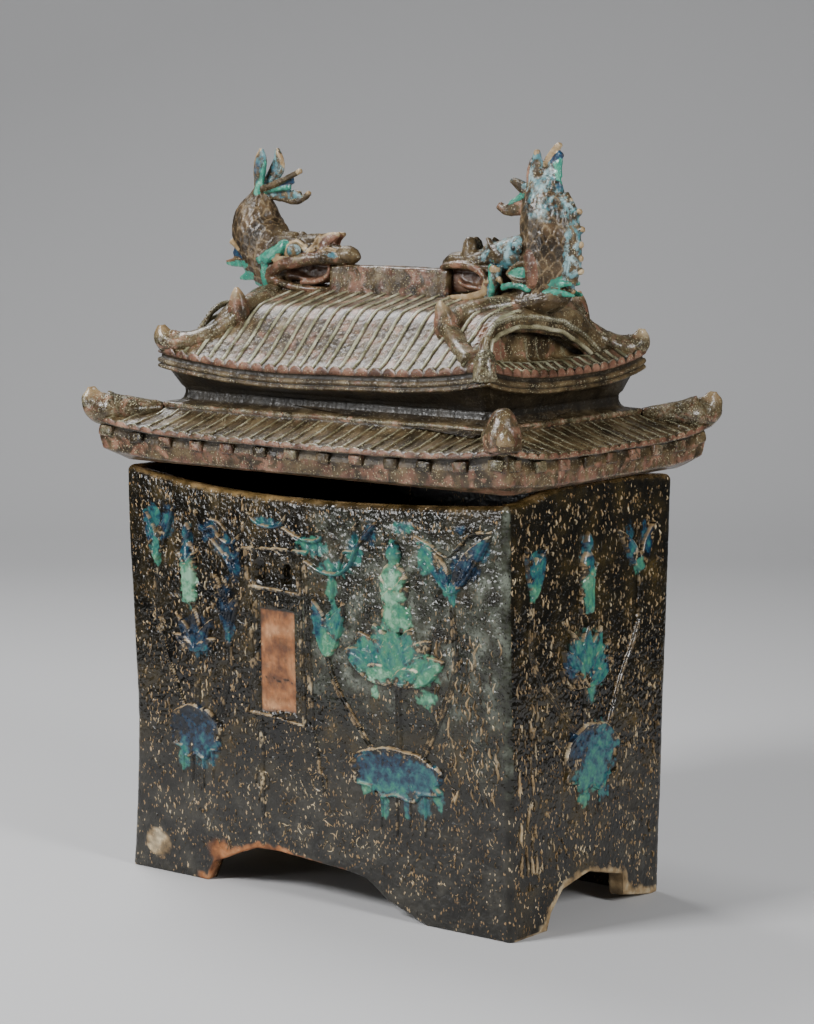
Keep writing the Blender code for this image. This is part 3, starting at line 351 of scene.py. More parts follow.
def box_rings():
    """Rings of the box from the floor inside, over the rim, down the outside and up under the floor."""
    front_bends = [mix(*FRONT_ARCH, share) for share, _ in FRONT_ARCH_SHAPE]
    side_bends = [mix(*SIDE_ARCH, share) for share, _ in SIDE_ARCH_SHAPE]
    front = np.union1d(np.arange(-GRID_HALF_WIDTH, GRID_HALF_WIDTH, FINE_STEP), front_bends)
    right = np.union1d(np.arange(-GRID_HALF_DEPTH, GRID_HALF_DEPTH, FINE_STEP), side_bends)
    back = np.union1d(np.arange(-GRID_HALF_WIDTH, GRID_HALF_WIDTH, BACK_STEP), front_bends)
    left = np.union1d(np.arange(-GRID_HALF_DEPTH, GRID_HALF_DEPTH, LEFT_STEP), side_bends)
    stops = [list(s) for s in (front, right, back, left)]
    base = plan_ring(RIM_HALF_WIDTH, RIM_HALF_DEPTH, CORNER_RADIUS, stops)
    top = rim_height(base[2], base[0], base[1])
    arch = np.where(
        base[2] % 2 == 0,
        arch_height(FRONT_ARCH, FRONT_ARCH_SHAPE, base[0]),
        arch_height(SIDE_ARCH, SIDE_ARCH_SHAPE, base[1]),
    )
    outer_top, level = top - RIM_EDGE, np.full_like(top, FLOOR_TOP)
    rows = [(BOX_WALL, mix(level, top - 0.004, s)) for s in np.linspace(0, 1, 10)]
    rows += [
        (BOX_WALL - 0.001, top - 0.0015), (BOX_WALL - 0.003, top), (0.0085, top + 0.0002), (RIM_EDGE, top),
        (0.0032, top - 0.0007), (0.0014, top - 0.0022), (0.0003, top - 0.0040),
    ]
    rows += [(0.0, mix(outer_top, level, s)) for s in np.linspace(0, 1, 134)]
    rows += [(0.0, mix(level, arch, s)) for s in np.linspace(0, 1, 23)[1:-1]]
    rows += [(0.0004, arch + 0.0008), (0.0015, arch), (BOX_WALL - 0.0015, arch), (BOX_WALL, arch + 0.0015)]
    rows += [(BOX_WALL, mix(arch, np.full_like(arch, FLOOR_UNDERSIDE), s)) for s in (0.5, 1.0)]
    rings = []
    for inset, z in rows:
        plan = base
        if inset:
            radius = max(0.001, CORNER_RADIUS - inset)
            plan = plan_ring(RIM_HALF_WIDTH - inset, RIM_HALF_DEPTH - inset, radius, stops)
        x, y = plan[0], plan[1]
        wide = x * (half_width_at(z) - inset) / (RIM_HALF_WIDTH - inset)
        deep = y * (half_depth_at(z, y > 0) - inset) / (RIM_HALF_DEPTH - inset)
        wide = wide - left_flare_at(z) * np.clip((-0.178 - base[0]) / 0.032, 0, 1)
        rings.append(np.stack([wide, deep, z], axis=1))
    return np.array(rings), base, np.array([inset for inset, _ in rows])


def pressed(side, t, z):
    """How far the outer wall stands in or out at a place: the corner groove, door panel, slots and scar."""
    depth = np.zeros_like(t)
    if side == "front":
        inside = smooth((t + 0.0645) / 0.0012) * smooth((-0.0215 - t) / 0.0012)
        inside *= smooth(above_door_foot(t, z) / 0.0015) * smooth((0.2655 - z) / 0.0015)
        depth -= 0.0010 * inside
        for across, up in ((-0.0605, 0.2990), (-0.0310, 0.2985)):
            slot = smooth((0.0046 - np.abs(t - across)) / 0.0016)
            slot *= smooth((0.0090 - np.abs(z - up)) / 0.0016)
            depth -= 0.0125 * slot
        depth += 0.0008 * smooth((1.15 - from_scar(t, z)) / 0.3)
        depth += 0.0006 * smooth((0.004 - np.abs(t - 0.2118)) / 0.003)
    if side == "right":
        groove = smooth((0.0021 - np.abs(t + 0.1178)) / 0.0016)
        depth -= 0.0013 * groove * smooth((0.372 - z) / 0.01) * smooth((z - 0.010) / 0.02)
    return depth


def linear(hex_colour):
    """An sRGB hex colour as the linear values that Blender's sockets take."""
    channels = [int(hex_colour[i:i + 2], 16) / 255 for i in (1, 3, 5)]
    return (*[c / 12.92 if c <= 0.04045 else ((c + 0.055) / 1.055) ** 2.4 for c in channels], 1.0)


def add_node(tree, kind, settings=None, links=None, out=0):
    """Adds a node with its settings and links, and returns one of its outputs. A number stands for a socket
    by its place, and ramp holds a colour ramp's stops."""
    node = tree.nodes.new(kind)
    for key, value in (settings or {}).items():
        if key == "ramp":
            while len(node.color_ramp.elements) < len(value):
                node.color_ramp.elements.new(0.5)
            for element, (place, colour) in zip(node.color_ramp.elements, value):
                element.position = place
                element.color = linear(colour)
        elif isinstance(key, str) and hasattr(node, key):
            setattr(node, key, value)
        else:
            node.inputs[key].default_value = value
    for key, source in (links or {}).items():
        tree.links.new(source, node.inputs[key])
    return node.outputs[out]


def where_high(tree, *parts):
    """High where every part is. Each is a source and the stretch of its values that is spread over 0 to 1."""
    share = None
    for source, *stretch in parts:
        if stretch:
            settings = {1: stretch[0], 2: stretch[1], "interpolation_type": "SMOOTHSTEP"}
            source = add_node(tree, "ShaderNodeMapRange", settings, {0: source})
        if share is not None:
            settings = {"operation": "MULTIPLY", "use_clamp": True}
            source = add_node(tree, "ShaderNodeMath", settings, {0: share, 1: source})
        share = source
    return share


def lay_glazes(tree, base, layers):
    """Lays each glaze over those before it where its share is high. Its colours follow a source."""
    for share, source, stops in layers:
        colour = add_node(tree, "ShaderNodeValToRGB", {"ramp": stops}, {0: source})
        base = add_node(tree, "ShaderNodeMix", {"data_type": "RGBA"}, {0: share, 6: base, 7: colour}, 2)
    return base


def iron_glaze():
    """Glazed stoneware: a thick iron glaze, poured and fired to gloss, dark olive to black. The eye gets
    sharp highlights broken by pits, cream flecks where ash melted in, and copper glaze pooled on motifs."""
    made = bpy.data.materials.new("iron_glazed_stoneware")
    made.use_nodes = True
    tree = made.node_tree
    shader = tree.nodes["Principled BSDF"]
    place = add_node(tree, "ShaderNodeTexCoord", out="Object")
    fields = {
        name: add_node(tree, "ShaderNodeAttribute", {"attribute_name": name}, out="Fac")
        for name in ("turquoise", "hue", "haze", "charcoal", "clay", "cream", "rim", "line")
    }
    broad, fine, hues, peel, wander = (
        add_node(
            tree, "ShaderNodeTexNoise",
            {"Scale": scale, "Detail": detail, "Roughness": roughness}, {"Vector": place},
        )
        for scale, detail, roughness in (
            (38, 6, 0.5), (420, 4, 0.6), (130, 5, 0.62), (230, 1.5, 0.4), (55, 5, 0.5),
        )
    )
    # Flecks about 1.5 mm wide, drawn out downwards to 3 mm. The relief's thin lines are free of them
    drawn = add_node(tree, "ShaderNodeMapping", {"Scale": (390, 390, 215)}, {"Vector": place})
    bend = add_node(tree, "ShaderNodeTexNoise", {"Scale": 0.9, "Detail": 2.0}, {"Vector": drawn}, "Color")
    settings = {"data_type": "RGBA", "blend_type": "LINEAR_LIGHT", 0: 0.9}
    bent = add_node(tree, "ShaderNodeMix", settings, {6: drawn, 7: bend}, 2)
    near = add_node(tree, "ShaderNodeTexVoronoi", {"Scale": 1.0}, {"Vector": bent}, "Distance")
    chosen = add_node(tree, "ShaderNodeSeparateColor", {}, {0: near.node.outputs["Color"]})
    fleck = where_high(
        tree, (near, 0.40, 0.22), (chosen, 0.66, 0.74), (fields["haze"], 1.0, 0.3),
        (fields["line"], 0.7, 0.1),
    )
    pits = where_high(tree, (near, 0.40, 0.15), (chosen, 0.30, 0.22))
    # Copper glaze: cobalt through turquoise to green, mottled, breaking to pale mint
    shade = add_node(tree, "ShaderNodeMath", {"operation": "MULTIPLY_ADD", 1: 1.2, 2: -0.64}, {0: hues})
    shade = add_node(tree, "ShaderNodeMath", {"operation": "ADD"}, {0: shade, 1: fields["hue"]})
    pooled = add_node(tree, "ShaderNodeMath", {"operation": "MULTIPLY_ADD", 1: 1.30, 2: -0.65}, {0: hues})
    pooled = add_node(tree, "ShaderNodeMath", {"operation": "ADD"}, {0: pooled, 1: fields["turquoise"]})
    base = add_node(tree, "ShaderNodeValToRGB", {"ramp": (
        (0.32, "#080704"), (0.50, "#181409"), (0.62, "#2c240f"), (0.75, "#483a19"),
    )}, {0: broad})
    base = lay_glazes(tree, base, (
        # Milky glaze and painted sheen: a grey-blue film over part of the front
        (where_high(tree, (fields["haze"],), (fine, 0.25, 0.55)), wander,
         ((0.35, "#191912"), (0.5, "#3a3d32"), (0.68, "#70766a"))),
        (where_high(tree, (fields["charcoal"],), (broad, 0.2, 0.5)), wander,
         ((0.35, "#14120e"), (0.5, "#23211b"), (0.68, "#3a372f"))),
        (fleck, wander, ((0.35, "#5d482c"), (0.5, "#957751"), (0.68, "#cdb894"))),
        (pits, wander, ((0.4, "#0a0906"), (0.6, "#15120b"))),
        (where_high(tree, (pooled, 0.36, 0.80)), shade,
         ((0.08, "#0a1019"), (0.26, "#182f45"), (0.42, "#26545c"),
          (0.58, "#367062"), (0.76, "#4a8263"), (0.95, "#83ab8f"))),
        (fields["clay"], wander, ((0.35, "#613b22"), (0.5, "#9b643c"), (0.68, "#bd8a60"))),
        (where_high(tree, (fields["rim"],), (fine, 0.2, 0.5)), wander,
         ((0.35, "#4a3b20"), (0.5, "#79623c"), (0.68, "#a88c61"))),
        (where_high(tree, (fields["cream"],), (fine, 0.15, 0.42)), wander,
         ((0.32, "#6b5535"), (0.5, "#a98e66"), (0.66, "#d3c09c"))),
    ))
    tree.links.new(base, shader.inputs["Base Color"])
    dull = add_node(tree, "ShaderNodeMath", {"operation": "MULTIPLY", 1: 0.34}, {0: broad})
    for name, more in (("charcoal", 0.18), ("cream", 0.30), ("clay", 0.50)):
        settings = {"operation": "MULTIPLY_ADD", "use_clamp": True, 1: more}
        dull = add_node(tree, "ShaderNodeMath", settings, {0: fields[name], 2: dull})
    tree.links.new(dull, shader.inputs["Roughness"])
    shader.inputs["IOR"].default_value = 1.5
    # The glaze's skin: pits and flecks 0.2 mm deep over a soft orange-peel, calmer where copper pooled
    height = add_node(tree, "ShaderNodeMath", {"operation": "SUBTRACT"}, {0: fleck, 1: pits})
    height = add_node(tree, "ShaderNodeMath", {"operation": "MULTIPLY_ADD", 1: 0.25}, {0: height, 2: peel})
    settings = {"operation": "MULTIPLY_ADD", 1: -0.50, 2: 0.75}
    strength = add_node(tree, "ShaderNodeMath", settings, {0: fields["turquoise"]})
    bump = add_node(tree, "ShaderNodeBump", {"Distance": 0.0011}, {"Height": height, "Strength": strength})
    tree.links.new(bump, shader.inputs["Normal"])
    return made


box_glaze = iron_glaze()
rings, plan, insets = box_rings()
outer = insets < 0.004
BOX_FIELDS = ("turquoise", "hue", "haze", "charcoal", "clay", "cream", "rim")
fields = {name: np.zeros(rings.shape[:2]) for name in BOX_FIELDS}
stand = np.zeros(rings.shape[:2])
for number, side in enumerate(SIDES):
    columns = np.where(plan[2] == number)[0]
    along = rings[:, columns, 0 if number % 2 == 0 else 1]
    up = rings[:, columns, 2]
    for name, values in wall_fields(side, along, up).items():
        fields[name][:, columns] = values * outer[:, None]
    stand[:, columns] = pressed(side, along, up) * outer[:, None]
inner = ~outer
cavity = insets > BOX_WALL - 0.0001
fields["rim"][inner & ~cavity] = 1.0
fields["charcoal"][cavity] = 0.9
arch_reveal = np.zeros_like(outer)
arch_reveal[-6:] = True
side_columns = plan[2] % 2 == 1
fields["cream"][np.ix_(arch_reveal, side_columns)] = 0.8
fields["rim"][arch_reveal] = 0
# The near corner's edge carries a pale line, partly thin glaze and partly painted highlight
corner = (plan[2] == 0) & (plan[0] > RIM_HALF_WIDTH - CORNER_RADIUS + 0.001)
height = rings[:, :, 2]
worn = outer[:, None] & corner[None, :] & (height > 0.125)
fields["haze"][worn] = 1.0
fields["turquoise"][worn] = 0
lumps = 0.00050 * rough(rings, 0.050, 2, 3.0) + 0.00028 * rough(rings, 0.009, 3, 4.0)
lumps *= np.where(height < 0.002, 0.2, 1.0) * outer[:, None]
rings = rings - facing(rings) * (stand + lumps - 0.0002)[:, :, None]
rings[:, :, 2] = np.maximum(rings[:, :, 2], 0)
piece("box_walls", skin("box_walls", rings, fields), box_glaze, "urn_box")


# The relief: soft clay forms pressed on the walls before glazing. Lotus flowers, buds and leaves on
# double-lined stems, robed figures on the flowers, and a shrine gate round the door panel. Their
# upward-facing edges are cream, partly glaze thinned there and partly painted highlight.

RELIEF_CELL = 0.00085
RELIEF_ROOT = 0.0012
NO_FORM = -0.004
STEM_HALF = 0.0017
STEM_PROUD = 0.0013


def curve_through(points, steps=8):
    """A smooth line through a few points."""
    points = np.array(points, float)
    ends = np.concatenate([[2 * points[0] - points[1]], points, [2 * points[-1] - points[-2]]])
    line = []
    for a, b, c, d in zip(ends, ends[1:], ends[2:], ends[3:]):
        for share in np.arange(steps) / steps:
            cube, square = share ** 3, share ** 2
            line.append(0.5 * (2 * b + (c - a) * share + (2 * a - 5 * b + 4 * c - d) * square
                               + (3 * b - a - 3 * c + d) * cube))
    return np.array(line + [points[-1]])


def wall_place(side, t, z, proud):
    """A place on an outer wall and how far it stands proud of it, as x, y and z."""
    return {
        "front": (t, -half_depth_at(z, False) - proud, z),
        "right": (half_width_at(z) + proud, t, z),
        "back": (t, half_depth_at(z, True) + proud, z),
        "left": (-half_width_at(z) - left_flare_at(z) - proud, t, z),
    }[side]


class Sheet:
    """A fine height map over one face: forms are laid on it one by one, and the highest counts."""

    def __init__(self, side, low, high):
        self.side = side
        self.across = np.arange(low[0], high[0], RELIEF_CELL)
        self.up = np.arange(low[1], high[1], RELIEF_CELL)
        self.t, self.z = np.meshgrid(self.across, self.up)
        self.height = np.full(self.t.shape, NO_FORM)
        spots = np.stack([self.t, self.z, np.zeros_like(self.t)], axis=-1)
        self.waver = rough(spots, 0.010, 2, 11.0)
        self.grain = rough(spots, 0.0035, 2, 17.0)

    def lay(self, inside, proud, edge=0.0020, dish=0.0):
        """A form whose distance in from its outline is inside; its edge is soft and its middle may dip."""
        inside = inside + 0.0004 * self.waver
        form = -RELIEF_ROOT + (proud + RELIEF_ROOT) * smooth((inside + 0.0007) / edge)
        form -= dish * smooth((inside - edge * 0.7) / 0.004)
        form = np.where(inside < -0.002, NO_FORM, form + 0.00018 * self.grain)
        self.height = np.maximum(self.height, form)

    def distance(self, line):
        """Distance to a line of points, and how far along it the nearest place lies."""
        nearest = np.full(self.t.shape, 1.0)
        share = np.zeros(self.t.shape)
        for i, (a, b) in enumerate(zip(line, line[1:])):
            run = b - a
            length = max(run @ run, 1e-12)
            here = np.clip(((self.t - a[0]) * run[0] + (self.z - a[1]) * run[1]) / length, 0, 1)
            away = np.hypot(self.t - a[0] - run[0] * here, self.z - a[1] - run[1] * here)
            closer = away < nearest
            nearest = np.where(closer, away, nearest)
            share = np.where(closer, (i + here) / (len(line) - 1), share)
        return nearest, share

    def ridge(self, points, half=0.0022, proud=0.0020, taper=0.0):
        away, share = self.distance(curve_through(points))
        self.lay(half * (1 - taper * share) - away, proud, edge=half)

    def stem(self, points, half=STEM_HALF):
        """Two fine lines with a groove between them."""
        away, share = self.distance(curve_through(points))
        self.lay(half * 0.62 - np.abs(away - half), STEM_PROUD, edge=half * 0.55)
        self.lay(half * 0.6 - away, STEM_PROUD * 0.25, edge=half)

    def petal(self, root, tip, width, proud=0.0034, lean=0.0):
        """A pointed petal from root to tip, dished, with a raised edge."""
        run, rise = tip[0] - root[0], tip[1] - root[1]
        length = math.hypot(run, rise)
        along = ((self.t - root[0]) * run + (self.z - root[1]) * rise) / length ** 2
        off = ((self.z - root[1]) * run - (self.t - root[0]) * rise) / length
        off = off + lean * np.sin(math.pi * np.clip(along, 0, 1))
        share = np.clip(along, 0, 1)
        half = width / 2 * np.sin(math.pi * share ** 0.82) ** 0.75 + 1e-5
        inside = np.where((along > 0) & (along < 1), half - np.abs(off),
                          -np.hypot((along - share) * length, off))
        crease = 0.0007 * smooth((0.0012 - np.abs(off)) / 0.001) * smooth((share - 0.1) / 0.2)
        self.lay(inside, proud, edge=0.0018, dish=0.0010)
        self.height = np.where(inside > 0.001, self.height + crease * 0.5, self.height)

    def lotus(self, middle, width, height, petals):
        root = (middle[0], middle[1] - height * 0.42)
        for i in sorted(range(petals), key=lambda i: -abs(i / (petals - 1) * 2 - 1)):
            share = i / (petals - 1) * 2 - 1
            turn = share * math.radians(74)
            reach = mix(height * 0.92, width * 0.52, abs(share) ** 1.5)
            rise = reach * math.cos(turn) + height * 0.12 * abs(share)
            tip = (root[0] + reach * math.sin(turn), root[1] + rise)
            self.petal((root[0] + 0.003 * share, root[1]), tip, width * 0.24, 0.0036 - 0.0006 * abs(share))
        for share in (-0.55, 0.55):
            tip = (root[0] + width * 0.46 * share, root[1] + height * 0.20)
            self.petal((root[0], root[1] - 0.002), tip, width * 0.16, 0.0040)

    def leaf(self, middle, width, height, drips):
        """A round leaf seen on its side: a raised outline over the top, a wavy lower edge, runs under it."""
        x, y = (self.t - middle[0]) / (width / 2), (self.z - middle[1]) / (height / 2)
        turn = np.arctan2(y, x)
        wave = np.where(y < 0, 1 + 0.10 * np.sin(turn * 9.0) * smooth(-y / 0.3),
                        1 + 0.03 * np.sin(turn * 7.0))
        inside = (wave - np.hypot(x, y)) * min(width, height) / 2
        self.lay(inside, 0.0026, edge=0.0024, dish=0.0012)
        arc = []
        for i in range(13):
            turn = math.radians(mix(12, 168, i / 12))
            wobble = 1 + 0.03 * math.sin(i * 2.1)
            arc.append((middle[0] + width / 2 * 0.97 * math.cos(turn) * wobble,
                        middle[1] + height / 2 * 0.97 * math.sin(turn) * wobble))
        self.ridge(arc, 0.0016, 0.0034)
        for share, drop in drips:
            top = (middle[0] + width * share, middle[1] - height * 0.34)
            self.ridge([top, (top[0] + 0.001, top[1] - drop / 2), (top[0], top[1] - drop)], 0.0017, 0.0014,
                       0.3)

    def figure(self, middle, hem, height, width, lean=0.0):
        """A standing robed figure with folded sleeves and a tall cap; its face is left plain."""
        up = (self.z - hem) / height
        levels = (0.0, 0.08, 0.30, 0.50, 0.60, 0.70, 0.755, 0.78, 0.82, 0.87, 0.91, 0.95, 1.0)
        widths = (0.86, 1.0, 0.80, 0.98, 0.90, 0.66, 0.34, 0.30, 0.46, 0.50, 0.40, 0.30, 0.0)
        depths = (0.55, 0.65, 0.75, 1.0, 0.95, 0.80, 0.55, 0.65, 0.95, 1.0, 0.85, 0.7, 0.4)
        wide, deep = np.interp(up, levels, widths), np.interp(up, levels, depths)
        off = self.t - middle - lean * up
        half = width / 2 * wide + 1e-5
        q = np.clip(np.abs(off) / half, 0, 1)
        body = 0.0056 * deep * np.sqrt(1 - q ** 2) + 0.0007
        folds = 0.0005 * np.sin(off / width * 26) * smooth((0.52 - up) / 0.1) * smooth((up - 0.02) / 0.06)
        sleeve = 0.0010 * smooth((0.0016 - np.abs(up * height - 0.50 * height + np.abs(off) * 0.7)) / 0.001)
        inside = np.where((up > 0) & (up < 1), half - np.abs(off), -0.01)
        form = np.where(inside > 0, body + folds - sleeve, NO_FORM)
        skirt = np.where((inside <= 0) & (inside > -0.0014), -RELIEF_ROOT, NO_FORM)
        self.height = np.maximum(self.height, np.maximum(form, skirt))
        self.ridge([(middle - width * 0.42, hem + height * 0.60), (middle, hem + height * 0.47),
                    (middle + width * 0.40, hem + height * 0.60)], 0.0012, 0.0066)

    def cut(self, name, material):
        """Makes the mesh: the sheet's cells where a form stands, its edge sunk in the wall."""
        rows, columns = self.t.shape
        made = bmesh.new()
        bmesh.ops.create_grid(made, x_segments=columns - 1, y_segments=rows - 1, size=1)
        mesh = bpy.data.meshes.new(name)
        made.to_mesh(mesh)
        made.clear()
        t, z, h = self.t, self.z, self.height
        h = np.maximum(h, -RELIEF_ROOT)
        points = np.stack(wall_place(self.side, t, z, h), axis=-1)
        mesh.vertices.foreach_set("co", points.ravel())
        fields = wall_fields(self.side, t, z, thinner=0.0)
        slope = -np.gradient(h, RELIEF_CELL, axis=0)
        # Cream on the forms' upward-facing slopes: partly thinned glaze, partly painted highlight from above
        upward_thin_glaze_and_painted_highlight = smooth((slope - 0.30 + 0.25 * self.waver) / 0.45) * smooth((h - 0.0003) / 0.0006)
        crest = smooth((h - 0.0006) / 0.0006) * smooth((0.35 + self.grain - fields["turquoise"]) / 0.3)
        crest *= np.where(h < 0.0022, 0.55 * smooth((self.waver - 0.05) / 0.3), 0.5 * (self.grain > 0.1))
        fields["cream"] = np.maximum(fields["cream"], np.maximum(upward_thin_glaze_and_painted_highlight * 0.75 * (self.waver > -0.15), crest))
        line = smooth((h - 0.0002) / 0.0004) * (h < 0.0024) * (fields["turquoise"] < 0.4)
        for tone in ("haze", "charcoal"):
            fields[tone] = fields[tone] * (1 - 0.85 * line)
        fields["clay"] = fields["clay"] * 0
        fields["line"] = line
        for field, values in fields.items():
            mesh.attributes.new(field, "FLOAT", "POINT").data.foreach_set("value", values.ravel())
        made.from_mesh(mesh)
        bpy.data.meshes.remove(mesh)
        keep = (self.height > -RELIEF_ROOT)
        kept = (keep[:-1, :-1] | keep[1:, :-1] | keep[:-1, 1:] | keep[1:, 1:]).ravel()
        made.faces.ensure_lookup_table()
        bmesh.ops.delete(made, geom=[made.faces[i] for i in np.where(~kept)[0]], context="FACES")
        bmesh.ops.recalc_face_normals(made, faces=made.faces)
        return piece(name, made, material)


def front_relief():
    sheet = Sheet("front", (-0.2075, 0.066), (0.2030, 0.3600))
    # Left of the gate
    for tip, lean in (((-0.204, 0.347), 0.003), ((-0.164, 0.350), -0.003)):
        sheet.petal((-0.189, 0.297), tip, 0.0125, 0.0036, lean)
    sheet.stem([(-0.189, 0.298), (-0.189, 0.258), (-0.184, 0.226), (-0.171, 0.191), (-0.160, 0.162)])
    sheet.figure(-0.149, 0.261, 0.076, 0.0205)
    sheet.lotus((-0.142, 0.236), 0.050, 0.042, 5)
    sheet.stem([(-0.141, 0.216), (-0.142, 0.190), (-0.143, 0.164)])
    sheet.leaf((-0.145, 0.140), 0.066, 0.050,
               ((-0.26, 0.024), (-0.08, 0.030), (0.12, 0.036), (0.30, 0.024)))
    for tip, lean in (((-0.119, 0.296), 0.002), ((-0.104, 0.288), 0.0), ((-0.088, 0.276), -0.002)):
        sheet.petal((-0.1035, 0.238), tip, 0.0120, 0.0028, lean)
    sheet.stem([(-0.103, 0.238), (-0.100, 0.215), (-0.104, 0.190), (-0.116, 0.160)])
    sheet.ridge([(-0.139, 0.347), (-0.129, 0.332), (-0.118, 0.334), (-0.110, 0.325), (-0.097, 0.321),
                 (-0.082, 0.331)], 0.0019, 0.0026)
    sheet.ridge([(-0.119, 0.322), (-0.105, 0.309), (-0.097, 0.297), (-0.094, 0.286)], 0.0018, 0.0024)
    sheet.ridge([(-0.102, 0.332), (-0.110, 0.339), (-0.121, 0.341)], 0.0015, 0.0022)
    sheet.petal((-0.098, 0.305), (-0.084, 0.318), 0.008, 0.0024)
    sheet.petal((-0.104, 0.312), (-0.092, 0.296), 0.007, 0.0022)
    # The gate: paired posts, lintel, beam, sill, two bent eaves, and the posts' long feet
    for x_top, x_foot, foot in ((-0.0785, -0.0705, 0.168), (-0.0695, -0.0665, 0.169),
                                (-0.0165, -0.0120, 0.166)):
        sheet.stem([(x_top, 0.3175), (mix(x_top, x_foot, 0.5), 0.243), (x_foot, foot)], 0.0013)
    sheet.stem([(-0.0095, 0.3175), (-0.0060, 0.240), (-0.0035, 0.157)], 0.0015)
    sheet.stem([(-0.0635, 0.160), (-0.0635, 0.116), (-0.064, 0.072)], 0.0012)
    sheet.stem([(-0.0020, 0.157), (0.0030, 0.130), (0.0080, 0.106)], 0.0012)
    sheet.ridge([(-0.082, 0.3180), (-0.046, 0.3205), (-0.006, 0.3205)], 0.0017, 0.0022)
    sheet.ridge([(-0.0725, 0.2835), (-0.046, 0.2830), (-0.0155, 0.2810)], 0.0024, 0.0017)
    sheet.ridge([(-0.075, 0.1675), (-0.045, 0.1660), (-0.0140, 0.1620)], 0.0016, 0.0024)
    sheet.ridge([(-0.0745, 0.3515), (-0.066, 0.3435), (-0.051, 0.3400), (-0.037, 0.3430),
                 (-0.0285, 0.3515)], 0.0021, 0.0027)
    sheet.ridge([(-0.033, 0.3400), (-0.018, 0.3340), (0.000, 0.3315), (0.010, 0.3345)], 0.0020, 0.0027)
    sheet.ridge([(0.010, 0.3345), (0.014, 0.3390), (0.011, 0.3425), (0.0065, 0.3400)], 0.0013, 0.0022)
    for across, up in ((-0.064, 0.105), (0.004, 0.113)):
        ring = [(across + 0.0085 * math.cos(a), up + 0.0085 * math.sin(a))
                for a in np.linspace(0, 2 * math.pi, 13)]
        sheet.ridge(ring, 0.0008, 0.0009)
    # Right of the gate
    sheet.ridge([(-0.008, 0.3125), (0.010, 0.3055), (0.028, 0.3045), (0.043, 0.3140), (0.051, 0.3300),
                 (0.060, 0.3400), (0.073, 0.3530)], 0.0023, 0.0030)
    sheet.ridge([(0.051, 0.3300), (0.048, 0.3440), (0.053, 0.3530)], 0.0015, 0.0022)
    sheet.ridge([(0.022, 0.3045), (0.0235, 0.293), (0.0215, 0.281)], 0.0022, 0.0026)
    sheet.ridge([(0.030, 0.3050), (0.036, 0.3240), (0.047, 0.3260)], 0.0014, 0.0020)
    for tip, lean in (((0.0005, 0.2800), 0.002), ((0.0185, 0.2700), 0.0), ((0.0365, 0.2790), -0.002)):
        sheet.petal((0.0160, 0.2280), tip, 0.0165, 0.0034, lean)
    sheet.stem([(0.016, 0.229), (0.024, 0.206), (0.036, 0.188), (0.050, 0.170), (0.066, 0.150)])
    sheet.figure(0.0935, 0.2600, 0.0800, 0.0330)
    sheet.lotus((0.092, 0.2390), 0.112, 0.054, 7)
    sheet.stem([(0.096, 0.220), (0.0955, 0.190), (0.096, 0.156)])
    for tip, lean in (((0.1185, 0.3440), 0.004), ((0.1995, 0.3540), -0.003)):
        sheet.petal((0.1555, 0.2990), tip, 0.0165, 0.0036, lean)
    sheet.ridge([(0.118, 0.3455), (0.134, 0.3395), (0.146, 0.3330), (0.154, 0.3325), (0.164, 0.3400),
                 (0.178, 0.3530), (0.199, 0.3565)], 0.0015, 0.0030)
    sheet.stem([(0.156, 0.300), (0.158, 0.268), (0.159, 0.235), (0.148, 0.200), (0.123, 0.152)])
    sheet.leaf((0.092, 0.132), 0.106, 0.046, ((-0.16, 0.034), (0.00, 0.040), (0.14, 0.030), (0.30, 0.036)))
    return sheet.cut("front_relief", box_glaze)


def right_relief():
    sheet = Sheet("right", (-0.1080, 0.082), (0.1080, 0.3560))
    for tip, lean in (((-0.101, 0.3440), 0.0015), ((-0.0850, 0.3330), 0.0), ((-0.0720, 0.3410), -0.0015)):
        sheet.petal((-0.0880, 0.2970), tip, 0.0135, 0.0034, lean)
    sheet.stem([(-0.090, 0.296), (-0.092, 0.252), (-0.080, 0.226), (-0.060, 0.204), (-0.029, 0.172)])
    sheet.figure(-0.0095, 0.2740, 0.0730, 0.0240)
    sheet.lotus((-0.0105, 0.2360), 0.080, 0.060, 7)
    sheet.stem([(-0.010, 0.216), (-0.010, 0.190), (-0.009, 0.172)])
    for tip, lean in (((0.037, 0.3430), 0.003), ((0.0950, 0.3460), -0.002)):
        sheet.petal((0.0740, 0.3020), tip, 0.0140, 0.0034, lean)
    sheet.stem([(0.075, 0.302), (0.073, 0.266), (0.064, 0.242), (0.044, 0.212), (0.026, 0.172)], 0.0021)
    sheet.leaf((-0.001, 0.1440), 0.084, 0.062,
               ((-0.24, 0.022), (-0.06, 0.026), (0.14, 0.030), (0.30, 0.018)))
    return sheet.cut("right_relief", box_glaze)


def plain_relief(side, places):
    """The back and the left side, which the photograph hides: plainer lotus plants in the same hand."""
    sheet = Sheet(side, (min(places) - 0.056, 0.078), (max(places) + 0.056, 0.275))
    for t in places:
        sheet.lotus((t, 0.240), 0.090, 0.055, 5)
        sheet.stem([(t, 0.220), (t + 0.002, 0.190), (t, 0.156)])
        sheet.leaf((t, 0.136), 0.090, 0.055, ((-0.2, 0.026), (0.02, 0.032), (0.22, 0.024)))
    return sheet.cut(side + "_relief", box_glaze)


front_relief()
right_relief()
plain_relief("back", (-0.105, 0.105))
plain_relief("left", (-0.010,))


# Runs of ash glaze: cream and tan drops that ran down and stand a little proud of the dark glaze. They are
# dense at the left and on the right-hand side, coarse beside the near corner and fine and tangled low down.

RUN_STATIONS = 6


def run_template():
    """One closed, three-sided drop; its points are placed again for each run."""
    rows = [[(row, column, column % 2) for column in range(3)] for row in range(RUN_STATIONS)]
    rings = np.array(rows, float)
    drop = skin("drop", rings, {})
    mesh = bpy.data.meshes.new("drop")
    drop.to_mesh(mesh)
    drop.free()
    return mesh, [(round(v.co.x), round(v.co.y)) for v in mesh.vertices]


